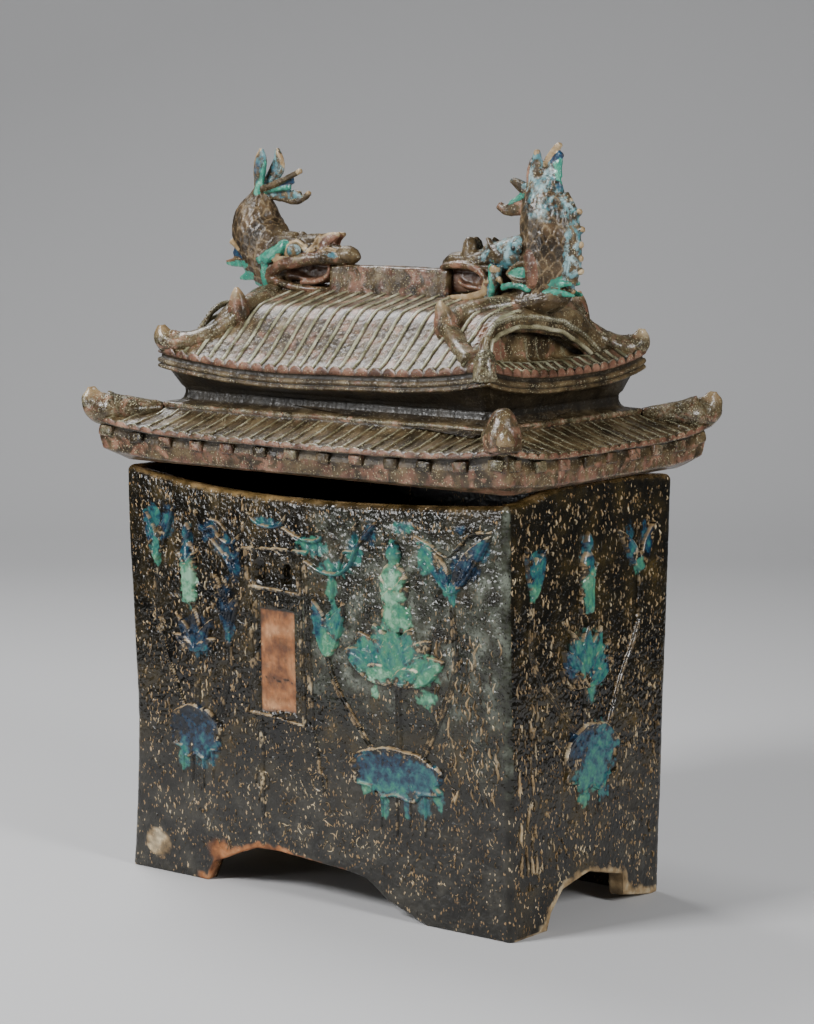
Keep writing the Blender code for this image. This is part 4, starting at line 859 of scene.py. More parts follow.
# Where runs lie: face, low and high corner, how many, length, width, tilt from upright
RUN_REGIONS = (
    ("front", (-0.212, 0.150), (-0.068, 0.362), 620, (0.0035, 0.0085), (0.0009, 0.0018), 0.16),
    ("front", (-0.205, 0.030), (-0.060, 0.160), 330, (0.0025, 0.0065), (0.0007, 0.0014), 0.35),
    ("front", (-0.060, 0.050), (0.060, 0.165), 300, (0.0022, 0.0055), (0.0006, 0.0011), 0.9),
    ("front", (-0.040, 0.052), (0.075, 0.100), 90, (0.0040, 0.0110), (0.0007, 0.0011), 1.45),
    ("front", (-0.066, 0.168), (0.100, 0.362), 200, (0.0020, 0.0050), (0.0006, 0.0012), 0.5),
    ("front", (0.060, 0.030), (0.212, 0.130), 300, (0.0022, 0.0065), (0.0006, 0.0013), 0.5),
    ("front", (0.136, 0.120), (0.206, 0.262), 150, (0.0060, 0.0170), (0.0012, 0.0022), 0.22),
    ("front", (0.110, 0.130), (0.212, 0.362), 170, (0.0022, 0.0060), (0.0007, 0.0013), 0.35),
    ("right", (-0.122, 0.140), (0.122, 0.375), 1250, (0.0028, 0.0070), (0.0008, 0.0017), 0.16),
    ("right", (-0.120, 0.035), (0.116, 0.150), 420, (0.0025, 0.0075), (0.0007, 0.0016), 0.25),
    ("right", (-0.122, 0.060), (-0.080, 0.240), 60, (0.0100, 0.0220), (0.0014, 0.0024), 0.12),
    ("left", (-0.120, 0.035), (0.120, 0.375), 300, (0.0030, 0.0080), (0.0010, 0.0019), 0.20),
    ("back", (-0.210, 0.035), (0.210, 0.375), 420, (0.0030, 0.0080), (0.0010, 0.0019), 0.20),
)


def glaze_runs():
    rng = random.Random(11)
    drop, order = run_template()
    made = bmesh.new()
    points, cream = [], []
    for side, low, high, count, lengths, widths, tilt in RUN_REGIONS:
        places = np.array([
            (rng.uniform(low[0], high[0]), rng.uniform(low[1], high[1])) for _ in range(count)
        ])
        colour, _ = painted(side, places[:, 0], places[:, 1])
        on_long_side = side in ("front", "back")
        span, shape = (FRONT_ARCH, FRONT_ARCH_SHAPE) if on_long_side else (SIDE_ARCH, SIDE_ARCH_SHAPE)
        arch = arch_height(span, shape, places[:, 0])
        for (t, z), amount, under in zip(places, colour, arch):
            at_door = side == "front" and -0.068 < t < -0.018 and 0.166 < z < 0.310
            at_scar = side == "front" and math.hypot(t - SCAR[0], z - 0.027) < 0.018
            wide = RIM_HALF_WIDTH if on_long_side else float(half_depth_at(z, t > 0))
            if amount > 0.45 or at_door or at_scar or z < under + 0.008 or abs(t) > wide - 0.0085:
                continue
            grown = rng.choice((0.65, 0.8, 1.0, 1.35))
            length, half = rng.uniform(*lengths) * 0.8 * grown, rng.uniform(*widths) * 0.85 * grown
            turn, bow = rng.gauss(0, tilt), rng.uniform(-0.22, 0.22)
            wriggle = rng.uniform(0, 6)
            shapes = {}
            for row in range(RUN_STATIONS):
                share = row / (RUN_STATIONS - 1)
                along = (share - 0.5) * length
                off = bow * length * math.sin(math.pi * share) + 0.35 * half * math.sin(wriggle + share * 7)
                wide = half * (0.25 + 0.75 * math.sin(math.pi * (0.08 + 0.84 * share ** 1.3)))
                bulge = half * 0.85 * math.sin(math.pi * (0.1 + 0.8 * share))
                for column in range(3):
                    side_step = off + wide * (column - 1)
                    dt = side_step * math.cos(turn) - along * math.sin(turn)
                    dz = side_step * math.sin(turn) + along * math.cos(turn)
                    proud = bulge if column == 1 else -0.0009
                    shapes[row, column] = wall_place(side, t + dt, z - dz, proud)
            made.from_mesh(drop)
            points += [shapes[key] for key in order]
            cream += [rng.choice((0.06, 0.15, 0.30, 0.45, 0.60, 0.85))] * len(order)
    mesh = bpy.data.meshes.new("runs")
    made.to_mesh(mesh)
    mesh.vertices.foreach_set("co", np.array(points, float).ravel())
    mesh.attributes.new("cream", "FLOAT", "POINT").data.foreach_set("value", np.array(cream, float))
    made.clear()
    made.from_mesh(mesh)
    bmesh.ops.recalc_face_normals(made, faces=made.faces)
    bpy.data.meshes.remove(mesh)
    return piece("glaze_runs", made, box_glaze)


glaze_runs()


# The lid's lower roof: one thrown and carved band with a deep fascia, a row of square dentils pressed on
# it, short tile rolls sweeping up to the corners, and the neck above, darkened with painted shade. Its
# underside is open, and it only rests on the rim. The glaze is thin here and breaks to pink clay.

REST = 0.3900
FASCIA = (0.2323, 0.1503)
EAVE = (0.2385, 0.1590)
TORUS = (0.1905, 0.1125)
NECK = (0.1775, 0.1005)
MOULDING = (0.1914, 0.1203)
GABLE_X = 0.1667
LAND_INNER = (0.1950, 0.1057)
LAND_OUTER = (0.2210, 0.1317)
ROLL_OFFSETS = (-0.5, -0.30, -0.165, -0.09, 0.0, 0.09, 0.165, 0.30)
LOWER_PITCH = 0.0152
RIB_HALF = 0.15
PAN_HALF = 0.36
PAN_HEIGHT = 0.38
TILE_END_HALF = 0.46
LOWER_LIFT = 0.0115
LOWER_EAVE_TOP = 0.0312
UNUSED_ON_ROOFS = ("turquoise", "hue", "cream", "lilac", "amber")
# The dark field is painted shade in the neck, grooves, recesses, undersides and mouths, and the dark glaze of
# the pupils and some dentils
# The pale field is thin pale glaze, and painted highlight along the rolls' crests and the beads
LID_FIELDS = ("pale", "pink", "dark", *UNUSED_ON_ROOFS)


def roll_stops(half, pitch, corner_keep):
    """Places across a side that catch each tile roll's crest, flanks and the pan beside it."""
    count = round(2 * (half - corner_keep) / pitch)
    step = 2 * (half - corner_keep) / count
    crests = [-half + corner_keep + step * (i + 0.5) for i in range(count)]
    places = [crest + offset * step for crest in crests for offset in ROLL_OFFSETS]
    return np.array([-half * 1.2, *places, half - corner_keep, half * 1.2]), np.array(crests), step


def roll_shape(places, crests, step, at_eave):
    """Height of the tiles: 1 on the thin ribs, 0 in the grooves beside them, and less than half on the domed
    pans. The eave shows the rounded tile ends."""
    away = np.min(np.abs(places[..., None] - crests), axis=-1) / step
    if at_eave:
        return np.sqrt(np.clip(1 - (away / TILE_END_HALF) ** 2, 0, 1))
    rib = np.sqrt(np.clip(1 - (away / RIB_HALF) ** 2, 0, 1))
    return np.maximum(rib, PAN_HEIGHT * np.sqrt(np.clip(1 - ((0.5 - away) / PAN_HALF) ** 2, 0, 1)))


def roof_ring(half, z, stops, lift=0.0, radius=0.004):
    """One ring of the roof: x, y and height, lifted near the corners by how far along its side each point
    lies.
    """
    x, y, side = plan_ring(half[0], half[1], radius, stops, arc=4)[:3]
    place = np.where(side % 2 == 0, x / half[0], y / half[1])
    return np.stack([x, y, z + lift * np.abs(place) ** 5], axis=1)


def thin_glaze():
    """Stoneware under a thin, partly worn glaze: satin olive-brown that breaks to pink clay where it's
    thinnest, pale greenish cream along the tile rolls that is partly painted highlight, painted shade in
    the recesses, and copper blues and greens on the fish-dragons."""
    made = bpy.data.materials.new("thin_glazed_stoneware")
    made.use_nodes = True
    tree = made.node_tree
    shader = tree.nodes["Principled BSDF"]
    place = add_node(tree, "ShaderNodeTexCoord", out="Object")
    fields = {
        name: add_node(tree, "ShaderNodeAttribute", {"attribute_name": name}, out="Fac")
        for name in LID_FIELDS
    }
    broad, fine, mottle, peel, wander = (
        add_node(
            tree, "ShaderNodeTexNoise",
            {"Scale": scale, "Detail": detail, "Roughness": roughness}, {"Vector": place},
        )
        for scale, detail, roughness in (
            (48, 6, 0.6), (480, 5, 0.65), (150, 5, 0.6), (250, 2, 0.45), (55, 5, 0.5),
        )
    )
    settings = {"Scale": 75.0, "Detail": 4.0, "Distortion": 0.8}
    patch = add_node(tree, "ShaderNodeTexNoise", settings, {"Vector": place})
    settings = {"operation": "MULTIPLY_ADD", 1: 0.85}
    bare = add_node(tree, "ShaderNodeMath", settings, {0: fields["pink"], 2: patch})
    settings = {"operation": "MULTIPLY_ADD", 1: 0.9}
    pale_glaze_and_painted_highlight_share = add_node(tree, "ShaderNodeMath", settings, {0: fields["pale"], 2: fine})
    # Specks of burst glaze, 1 to 2 mm apart
    near = add_node(tree, "ShaderNodeTexVoronoi", {"Scale": 620.0}, {"Vector": place}, "Distance")
    chosen = add_node(tree, "ShaderNodeSeparateColor", {}, {0: near.node.outputs["Color"]})
    speck = where_high(tree, (near, 0.45, 0.25), (chosen, 0.70, 0.80))
    dots = where_high(tree, (near, 0.45, 0.20), (chosen, 0.22, 0.12))
    # Copper glaze: cobalt through grey-blue and turquoise to pale green
    shade = add_node(tree, "ShaderNodeMath", {"operation": "MULTIPLY_ADD", 1: 0.8, 2: -0.4}, {0: mottle})
    shade = add_node(tree, "ShaderNodeMath", {"operation": "ADD"}, {0: shade, 1: fields["hue"]})
    pooled = add_node(tree, "ShaderNodeMath", {"operation": "MULTIPLY_ADD", 1: 1.6, 2: -0.95}, {0: mottle})
    pooled = add_node(tree, "ShaderNodeMath", {"operation": "ADD"}, {0: pooled, 1: fields["turquoise"]})
    base = add_node(tree, "ShaderNodeValToRGB", {"ramp": (
        (0.30, "#1e180e"), (0.45, "#3a2e1c"), (0.58, "#5a4a31"), (0.72, "#7d6d4e"),
    )}, {0: broad})
    base = lay_glazes(tree, base, (
        (where_high(tree, (bare, 0.86, 1.06)), wander,
         ((0.35, "#4c3224"), (0.5, "#765341"), (0.68, "#9c765f"))),
        # Pale greenish cream: thin glaze, and painted highlight on the rolls' crests and the beads
        (where_high(tree, (pale_glaze_and_painted_highlight_share, 0.80, 1.30)), wander,
         ((0.35, "#5f5c44"), (0.5, "#8b896f"), (0.68, "#b4b29a"))),
        (speck, wander, ((0.4, "#8d8363"), (0.6, "#b8ae8c"))),
        (dots, wander, ((0.4, "#17130c"), (0.6, "#241c12"))),
        # Painted shade in the neck, grooves, recesses and mouths, and the dark glaze of pupils and some
        # dentils
        (fields["dark"], wander, ((0.4, "#100d08"), (0.6, "#1f1a11"))),
        (fields["amber"], wander, ((0.35, "#120c07"), (0.5, "#2c2013"), (0.68, "#624c33"))),
        (where_high(tree, (fields["lilac"],), (mottle, 0.42, 0.60)), wander,
         ((0.35, "#28475c"), (0.5, "#4c7f86"), (0.68, "#a5bfc2"))),
        (where_high(tree, (pooled, 0.38, 0.85)), shade,
         ((0.05, "#10203f"), (0.25, "#1d4560"), (0.40, "#4f8792"),
          (0.55, "#297a73"), (0.75, "#3a8a72"), (0.95, "#86bba2"))),
        (where_high(tree, (fields["cream"],), (fine, 0.15, 0.42)), wander,
         ((0.32, "#6f5a3c"), (0.5, "#a68c66"), (0.66, "#cdb994"))),
    ))
    tree.links.new(base, shader.inputs["Base Color"])
    dull = add_node(tree, "ShaderNodeMath", {"operation": "MULTIPLY_ADD", 1: 0.34, 2: 0.20}, {0: broad})
    for name, more in (("pale", -0.20), ("turquoise", -0.08)):
        dull = add_node(tree, "ShaderNodeMath", {"operation": "MULTIPLY_ADD", 1: more},
                        {0: fields[name], 2: dull})
    tree.links.new(dull, shader.inputs["Roughness"])
    shader.inputs["IOR"].default_value = 1.5
    height = add_node(tree, "ShaderNodeMath", {"operation": "SUBTRACT"}, {0: speck, 1: dots})
    height = add_node(tree, "ShaderNodeMath", {"operation": "MULTIPLY_ADD", 1: 0.35}, {0: height, 2: peel})
    bump = add_node(tree, "ShaderNodeBump", {"Strength": 0.7, "Distance": 0.0008}, {"Height": height})
    tree.links.new(bump, shader.inputs["Normal"])
    return made


roof_glaze = thin_glaze()


def lower_roof():
    front, front_crests, front_step = roll_stops(EAVE[0], LOWER_PITCH, 0.016)
    ends, end_crests, end_step = roll_stops(EAVE[1], LOWER_PITCH, 0.016)
    stops = [list(front), list(ends)] * 2
    # Each row: half sizes, growth, height, corner lift, corner radius, height of the rolls, pale, pink, dark.
    # Pale is thin glaze with painted highlight on the rolls' crests; dark is painted shade on the neck, the
    # underside, under the eave and round the torus.
    rows = [
        (NECK, -0.010, 0.0655, 0, 0.012, 0, 0, 0, 1), (NECK, -0.010, 0.050, 0, 0.012, 0, 0, 0, 1),
        (LAND_INNER, 0, 0.033, 0, 0.012, 0, 0, 0.3, 0.5), (LAND_INNER, 0, 0.002, 0, 0.012, 0, 0, 0.6, 0.2),
        (LAND_INNER, 0.002, 0.0, 0, 0.010, 0, 0, 0.6, 0), (LAND_OUTER, 0, 0.0, 0, 0.008, 0, 0, 0.6, 0.1),
    ]
    for share in (0.35, 0.75):
        half = (mix(LAND_OUTER[0], FASCIA[0], share), mix(LAND_OUTER[1], FASCIA[1], share))
        rows.append((half, 0, 0.0045 * share, 0.006 * share, 0.006, 0, 0.1, 0.5, 0))
    rows += [(FASCIA, -0.0008, 0.0043, 0.006, 0.003, 0, 0.4, 0.5, 0),
             (FASCIA, 0, 0.0055, 0.006, 0.002, 0, 0.3, 0.5, 0)]
    for share in np.linspace(0.08, 1, 9):
        rows.append((FASCIA, 0.0025 * share, mix(0.0055, 0.0182, share), mix(0.006, 0.0075, share), 0.002,
                     0, 0.20, 0.50, 0))
    rows += [
        (FASCIA, 0.0024, 0.0205, 0.0088, 0.002, 0, 0.1, 0.3, 0.2),
        (FASCIA, 0.0005, 0.0262, 0.0110, 0.002, 0, 0, 0.2, 0.7),
        (EAVE, -0.0030, 0.0270, LOWER_LIFT, 0.002, 0, 0, 0.2, 0.6),
        (EAVE, -0.0004, 0.0274, LOWER_LIFT, 0.002, 0, 0.2, 0.3, 0.2),
        (EAVE, 0.0, 0.0286, LOWER_LIFT, 0.002, 0.0006, 0.2, 0.7, 0),
        (EAVE, 0.0, 0.0300, LOWER_LIFT, 0.002, 0.0024, 0.3, 0.7, 0),
        (EAVE, -0.0006, 0.0306, LOWER_LIFT, 0.002, 0.0031, 0.8, 0.2, 0),
    ]
    for share in np.linspace(0.03, 1, 26):
        half = (mix(EAVE[0], TORUS[0] + 0.002, share), mix(EAVE[1], TORUS[1] + 0.002, share))
        height = mix(0.0310, 0.0465, share * (0.80 + 0.20 * share))
        rows.append((half, 0, height, mix(LOWER_LIFT, 0.001, smooth(share * 1.15)), 0.003,
                     mix(0.0026, 0.0015, share), 0.75, 0.28, 0))
    rows += [
        (TORUS, 0.0015, 0.0480, 0, 0.004, 0, 0.1, 0.1, 0.6),
        (TORUS, 0.0012, 0.0494, 0, 0.004, 0, 0.3, 0.5, 0),
        (TORUS, 0.0022, 0.0508, 0, 0.004, 0, 0.5, 0.5, 0),
        (TORUS, 0.0017, 0.0524, 0, 0.004, 0, 0.5, 0.5, 0),
        (TORUS, 0.0002, 0.0535, 0, 0.004, 0, 0.4, 0.4, 0),
        (TORUS, -0.0030, 0.0541, 0, 0.005, 0, 0, 0.3, 0.3),
        (NECK, 0.0036, 0.0552, 0, 0.008, 0, 0, 0.1, 0.6), (NECK, 0.0010, 0.0580, 0, 0.008, 0, 0, 0, 0.9),
        (NECK, 0, 0.0620, 0, 0.008, 0, 0, 0, 0.95), (NECK, 0, 0.0655, 0, 0.008, 0, 0, 0, 0.95),
    ]
    rings, values = [], {name: [] for name in LID_FIELDS}
    for half, grow, height, lift, radius, tile, pale, pink, dark in rows:
        size = (half[0] + grow, half[1] + grow)
        ring = roof_ring(size, REST + height, stops, lift, radius)
        side = plan_ring(size[0], size[1], radius, stops, arc=4)[2]
        at_eave = height < LOWER_EAVE_TOP
        rolls = np.where(side % 2 == 0, roll_shape(ring[:, 0], front_crests, front_step, at_eave),
                         roll_shape(ring[:, 1], end_crests, end_step, at_eave))
        on_roll = 1.0 if tile else 0.0
        ring[:, 2] += tile * rolls
        rings.append(ring)
        # Pale on the rolls' crests: partly thin glaze there, partly painted highlight
        values["pale"].append(pale * (mix(0.10, 1.0, rolls ** 2) if on_roll else np.ones_like(rolls)))
        values["pink"].append(pink * np.ones_like(rolls))
        # Painted shade in the grooves beside each roll
        values["dark"].append(np.maximum(dark, 0.40 * on_roll * smooth((0.26 - rolls) / 0.12)))
        for name in UNUSED_ON_ROOFS:
            values[name].append(np.zeros_like(rolls))
    rings = np.array(rings)
    fields = {name: np.array(rows) for name, rows in values.items()}
    sag = 0.0011 * rough(rings, 0.090, 2, 21.0) + 0.00035 * rough(rings, 0.010, 3, 22.0)
    rings[5:, :, 2] += sag[5:] * (rings[5:, :, 2] > REST + 0.0002)
    rings[7:] += facing(rings)[7:] * (0.00030 * rough(rings[7:], 0.006, 2, 23.0))[:, :, None]
    rings[:, :, 0] = np.clip(rings[:, :, 0], cad_box[0].x, cad_box[1].x)
    made = skin("lower_roof", rings, fields, closed_ends=False)
    rims = [e for e in made.edges if e.is_boundary]
    bmesh.ops.bridge_loops(made, edges=rims)
    bmesh.ops.recalc_face_normals(made, faces=made.faces)
    return piece("lower_roof", made, roof_glaze, "urn_lid")


def coloured(made, values):
    """Gives every point of a mesh the same value in each colour field."""
    for name in LID_FIELDS:
        field = made.verts.layers.float.get(name) or made.verts.layers.float.new(name)
        for vertex in made.verts:
            vertex[field] = values.get(name, 0.0)


def merge_into(target, made):
    passing = bpy.data.meshes.new("passing")
    made.to_mesh(passing)
    made.free()
    target.from_mesh(passing)
    bpy.data.meshes.remove(passing)


DENTIL = (0.0145, 0.0100, 0.0094)
DENTIL_PITCH = 0.0355


def dentils():
    """Square blocks pressed under the eave at every 36 mm, each a little out of true."""
    rng = random.Random(5)
    row = bmesh.new()
    for side in (0, 1, 3):
        along, across = (FASCIA[0], FASCIA[1]) if side % 2 == 0 else (FASCIA[1], FASCIA[0])
        count = round(2 * (along - DENTIL[0]) / DENTIL_PITCH)
        for i in range(count + 1):
            t = (i / count * 2 - 1) * (along - 0.0090) + rng.uniform(-0.0012, 0.0012)
            z = REST + 0.0217 + 0.0075 * abs(t / along) ** 5 + rng.uniform(-0.0006, 0.0006)
            block = bmesh.new()
            bmesh.ops.create_cube(block, size=1)
            bmesh.ops.scale(block, vec=DENTIL, verts=block.verts)
            bmesh.ops.bevel(block, geom=block.edges[:], offset=0.0012, segments=2, profile=0.5,
                            affect="EDGES", material=-1)
            bmesh.ops.subdivide_edges(block, edges=[e for e in block.edges if e.calc_length() > 0.004],
                                      cuts=2, use_grid_fill=True)
            for vertex in block.verts:
                shake = noise.noise_vector(vertex.co / 0.006 + Vector((i * 3.1, side * 7.7, 0)))
                vertex.co += shake * 0.0007
            turn = rng.gauss(0, 0.05)
            facing_out = Matrix.Rotation(side * math.pi / 2, 4, "Z")
            place = facing_out @ Matrix.Translation((t, -across - 0.0002, z))
            bmesh.ops.transform(block, matrix=place @ Matrix.Rotation(turn, 4, "Y"), verts=block.verts)
            coloured(block, {"pink": rng.uniform(0.2, 0.7), "pale": rng.uniform(0.2, 0.55),
                             "dark": rng.choice((0, 0, 0.35))})
            merge_into(row, block)
    return piece("dentils", row, roof_glaze)


lower_roof()
dentils()


# The upper roof: two fillet mouldings, tile rolls that run down both domed slopes and over the hipped
# skirts, and an arched gable sunk in each end. The eave sweeps up to the corners. It is hollow inside and
# luted to the neck.

UPPER_PITCH = 0.0150
SIDE_PITCH = 0.0132
UPPER_SOFFIT = 0.0715
UPPER_EAVE_TOP = 0.0905
GABLE_FOOT = 0.0990
SLOPE_TOP = 0.5450
SLOPE_TOP_Y = 0.0120
SLOPE_FOOT = 0.4810
EAVE_SWEEP = 0.0125
GABLE_SILL = 0.4862
GABLE_RISE = 0.0385
GABLE_SPAN = (-0.0885, 0.0800)
GABLE_SHAPE = (
    (0, 0), (0.03, 0.69), (0.10, 0.86), (0.26, 1), (0.44, 0.954), (0.65, 0.80), (0.79, 0.51), (0.93, 0.18),
    (1, 0),
)
GABLE_DEPTH = 0.0150


def slope_height(y):
    """Height of the upper roof over depth: domed near the ridge, then steep, then flared at the eave."""
    share = np.clip((np.abs(y) - SLOPE_TOP_Y) / (MOULDING[1] - SLOPE_TOP_Y), 0, 1)
    return mix(SLOPE_TOP, SLOPE_FOOT, 0.40 * share + 0.60 * smooth((share - 0.40) / 0.60))


def sill_height(y):
    """The gable wall's foot, which sags in the middle."""
    return GABLE_SILL + 0.0055 * (y / 0.074) ** 2


def gable_top(y):
    """The gable's arch: steep at the front, highest a third of the way back, long and low behind."""
    shares, heights = zip(*GABLE_SHAPE)
    place = (y - GABLE_SPAN[0]) / (GABLE_SPAN[1] - GABLE_SPAN[0])
    return GABLE_SILL + GABLE_RISE * np.interp(place, shares, heights, left=-1, right=-1)


def sweep(z, place):
    """How far the eave's sweep lifts a point at a height, by how near its corner it lies."""
    return EAVE_SWEEP * np.abs(place) ** 3 * smooth((0.520 - z) / 0.036)


def upper_roof():
    front, front_crests, front_step = roll_stops(MOULDING[0], UPPER_PITCH, 0.009)
    ends, end_crests, end_step = roll_stops(MOULDING[1], SIDE_PITCH, 0.009)
    stops = [list(front), list(ends)] * 2
    inner_neck = (NECK[0] - 0.010, NECK[1] - 0.010)
    # Each row: half sizes, growth, height above the land, corner radius, tile rolls, pale, pink, dark.
    # Dark is painted shade inside, on the neck and in the grooves between the mouldings; pale is thin glaze
    # with painted highlight on the beads and the rolls' crests.
    rows = [
        ((0.0967, 0.0240), 0, 0.1374, 0.02, 0, 0, 0.3, 0.5),
        ((0.1347, 0.0505), 0, 0.1294, 0.02, 0, 0, 0.3, 0.5),
        ((0.1407, 0.0720), 0, 0.1170, 0.02, 0, 0, 0.3, 0.5),
        ((0.1407, 0.0790), 0, 0.0940, 0.02, 0, 0, 0.3, 0.5),
        (inner_neck, 0, 0.0780, 0.012, 0, 0, 0.3, 0.5),
        (inner_neck, 0, 0.0630, 0.012, 0, 0, 0, 1), (NECK, -0.0006, 0.0630, 0.008, 0, 0, 0, 0.95),
        (NECK, 0.0004, 0.0670, 0.008, 0, 0, 0, 0.95), (NECK, 0.0022, 0.0695, 0.007, 0, 0, 0, 0.9),
        (MOULDING, -0.0078, 0.0717, 0.006, 0, 0, 0, 0.75),
        (MOULDING, -0.0046, 0.0731, 0.005, 0, 0, 0.2, 0.5),
        (MOULDING, -0.0020, 0.0739, 0.004, 0, 0.1, 0.3, 0.2),
        (MOULDING, -0.0004, 0.0747, 0.004, 0, 0.3, 0.35, 0),
        (MOULDING, 0.0, 0.0760, 0.004, 0, 0.4, 0.35, 0),
        (MOULDING, -0.0005, 0.0774, 0.004, 0, 0.2, 0.35, 0),
        (MOULDING, -0.0024, 0.0784, 0.004, 0, 0, 0.2, 0.9),
        (MOULDING, -0.0004, 0.0794, 0.004, 0, 0.3, 0.35, 0),
        (MOULDING, 0.0002, 0.0812, 0.004, 0, 0.4, 0.35, 0),
        (MOULDING, -0.0004, 0.0830, 0.004, 0, 0.2, 0.35, 0),
        (MOULDING, -0.0026, 0.0842, 0.004, 0, 0, 0.2, 0.9),
        (MOULDING, -0.0024, 0.0874, 0.004, 0, 0.0, 0.4, 0.7),
        (MOULDING, -0.0006, 0.0880, 0.004, 0.0002, 0.1, 0.75, 0),
        (MOULDING, 0.0, 0.0890, 0.004, 0.0032, 0.1, 0.8, 0),
        (MOULDING, -0.0003, 0.0898, 0.004, 0.0048, 0.3, 0.7, 0),
        (MOULDING, -0.0012, 0.0904, 0.004, 0.0054, 0.7, 0.4, 0),
    ]
    spots = 66
    for i in range(spots + 1):
        share = 1 - i / spots
        y = mix(SLOPE_TOP_Y, MOULDING[1] - 0.0020, share)
        x = float(np.interp(y, (0.012, 0.054, 0.0985, 0.1035, MOULDING[1]),
                            (0.1452, 0.1639, GABLE_X, 0.1678, MOULDING[0])))
        height = float(slope_height(y)) - REST - 0.0006 * smooth(share * 4 - 3)
        radius = mix(0.006, 0.004, share) + 0.010 * math.sin(math.pi * share)
        rows.append(((x, y), 0, height, radius, mix(0.0021, 0.0026, share), 1.0, 0.45, 0))
    rows.append(((0.1400, 0.0040), 0, 0.1558, 0.003, 0, 0, 0.4, 0.3))
    rings, values = [], {name: [] for name in LID_FIELDS}
    for half, grow, height, radius, tile, pale, pink, dark in rows:
        size = (half[0] + grow, half[1] + grow)
        ring = roof_ring(size, REST + height, stops, 0, radius)
        side = plan_ring(size[0], size[1], radius, stops, arc=4)[2]
        at_end = side % 2 == 1
        place = np.where(at_end, ring[:, 1] / size[1], ring[:, 0] / size[0])
        at_eave = height < UPPER_EAVE_TOP
        rolls = np.where(at_end, roll_shape(ring[:, 1], end_crests, end_step, at_eave),
                         roll_shape(ring[:, 0], front_crests, front_step, at_eave))
        x, y, z = ring.T
        outside = height > UPPER_SOFFIT
        warped = 0.0030 * smooth((x + 0.08) / 0.16) * smooth((0.520 - z) / 0.03)
        ring[:, 2] += outside * (sweep(z, place) + warped)
        z = ring[:, 2]
        outline = gable_top(y)
        wall = at_end & (height > GABLE_FOOT)
        open_here = wall * smooth((outline - z) / 0.0022)
        rolls = np.where(wall, 0, rolls)
        ring[:, 0] -= np.sign(x) * GABLE_DEPTH * open_here
        ring[:, 2] += tile * rolls
        rings.append(ring)
        drips = np.sin(y / 0.0043 + 2.0 * np.sin(y / 0.009)) > 0.80
        streaks = 0.40 * open_here * drips * (z < sill_height(y) + 0.028)
        blotch = 0.9 * open_here * smooth(1.4 - np.hypot((y + 0.058) / 0.013, (z - 0.505) / 0.011))
        on_roll = 1.0 if tile else 0.0
        # Pale on the rolls' crests: partly thin glaze there, partly painted highlight
        rib = mix(0.18, 1.0, smooth((rolls - 0.30) / 0.45)) if on_roll else np.ones_like(rolls)
        values["pale"].append(np.where(wall, np.where(open_here > 0.5, 0.15 + streaks, 0.35), pale * rib))
        values["pink"].append(np.where(wall, 0.32 + blotch, pink * np.ones_like(rolls)))
        # Painted shade high in each gable's recess, under its arch
        deep = np.where(wall, open_here * smooth((z - outline + 0.010) / 0.010), 0)
        # Painted shade in the grooves beside each roll
        groove = 0.65 * on_roll * smooth((0.26 - rolls) / 0.12)
        values["dark"].append(np.maximum(np.maximum(dark, 0.8 * deep), np.where(wall, 0, groove)))
        for name in UNUSED_ON_ROOFS:
            values[name].append(np.zeros_like(rolls))
    rings = np.array(rings)
    fields = {name: np.array(rows) for name, rows in values.items()}
    bend = 0.0020 * rough(rings * np.array([1.0, 0.5, 0.5]), 0.045, 2, 31.0)
    upper = smooth((rings[:, :, 2] - 0.484) / 0.01)
    rings[:, :, 0] += bend * upper * smooth((0.5445 - rings[:, :, 2]) / 0.01)
    rings[9:, :, 2] += (0.0007 * rough(rings, 0.080, 2, 32.0))[9:]
    rings[9:] += facing(rings)[9:] * (0.00035 * rough(rings[9:], 0.005, 3, 33.0))[:, :, None]
    return piece("upper_roof", skin("upper_roof", rings, fields), roof_glaze)


upper_roof()


# Ridges and horns: rolls of clay laid over the hips and down beside the gables, each pulled up at its end
# into a horn. Those beside the gables have a flat outer face. A plain roll and a pinched one frame each
# gable.

# For each corner, how far across and in depth the roll beside the gable ends and the corner's ridge starts
DESCENDING = {
    (-1, -1): (0.1290, 0.0740), (1, -1): (0.1135, 0.0770), (1, 1): (0.1450, 0.0750), (-1, 1): (0.1320, 0.0750),
}
CLAY = {"pink": 0.42, "pale": 0.45}


def clay_bar(path, sizes, sides=14, square=1.0, up=(0, 0, 1), steps=6):
    """A bar along a smooth path. Sizes are half its width and half its height; square above 1 flattens it."""
    shape = [(*p, *s) for p, s in zip(path, sizes)]
    line = curve_through(shape, steps)
    centres, halves = line[:, :3], line[:, 3:]
    ahead = np.gradient(centres, axis=0)
    ahead /= np.linalg.norm(ahead, axis=1, keepdims=True)
    across = np.cross(ahead, np.array(up, float))
    across /= np.maximum(np.linalg.norm(across, axis=1, keepdims=True), 1e-9)
    upright = np.cross(across, ahead)
    turns = 2 * math.pi * (np.arange(sides) + 0.5) / sides
    c = np.sign(np.cos(turns)) * np.abs(np.cos(turns)) ** (1 / square)
    s = np.sign(np.sin(turns)) * np.abs(np.sin(turns)) ** (1 / square)
    wide = across[:, None] * (halves[:, :1] * c)[:, :, None]
    return centres[:, None] + wide + upright[:, None] * (halves[:, 1:2] * s)[:, :, None]


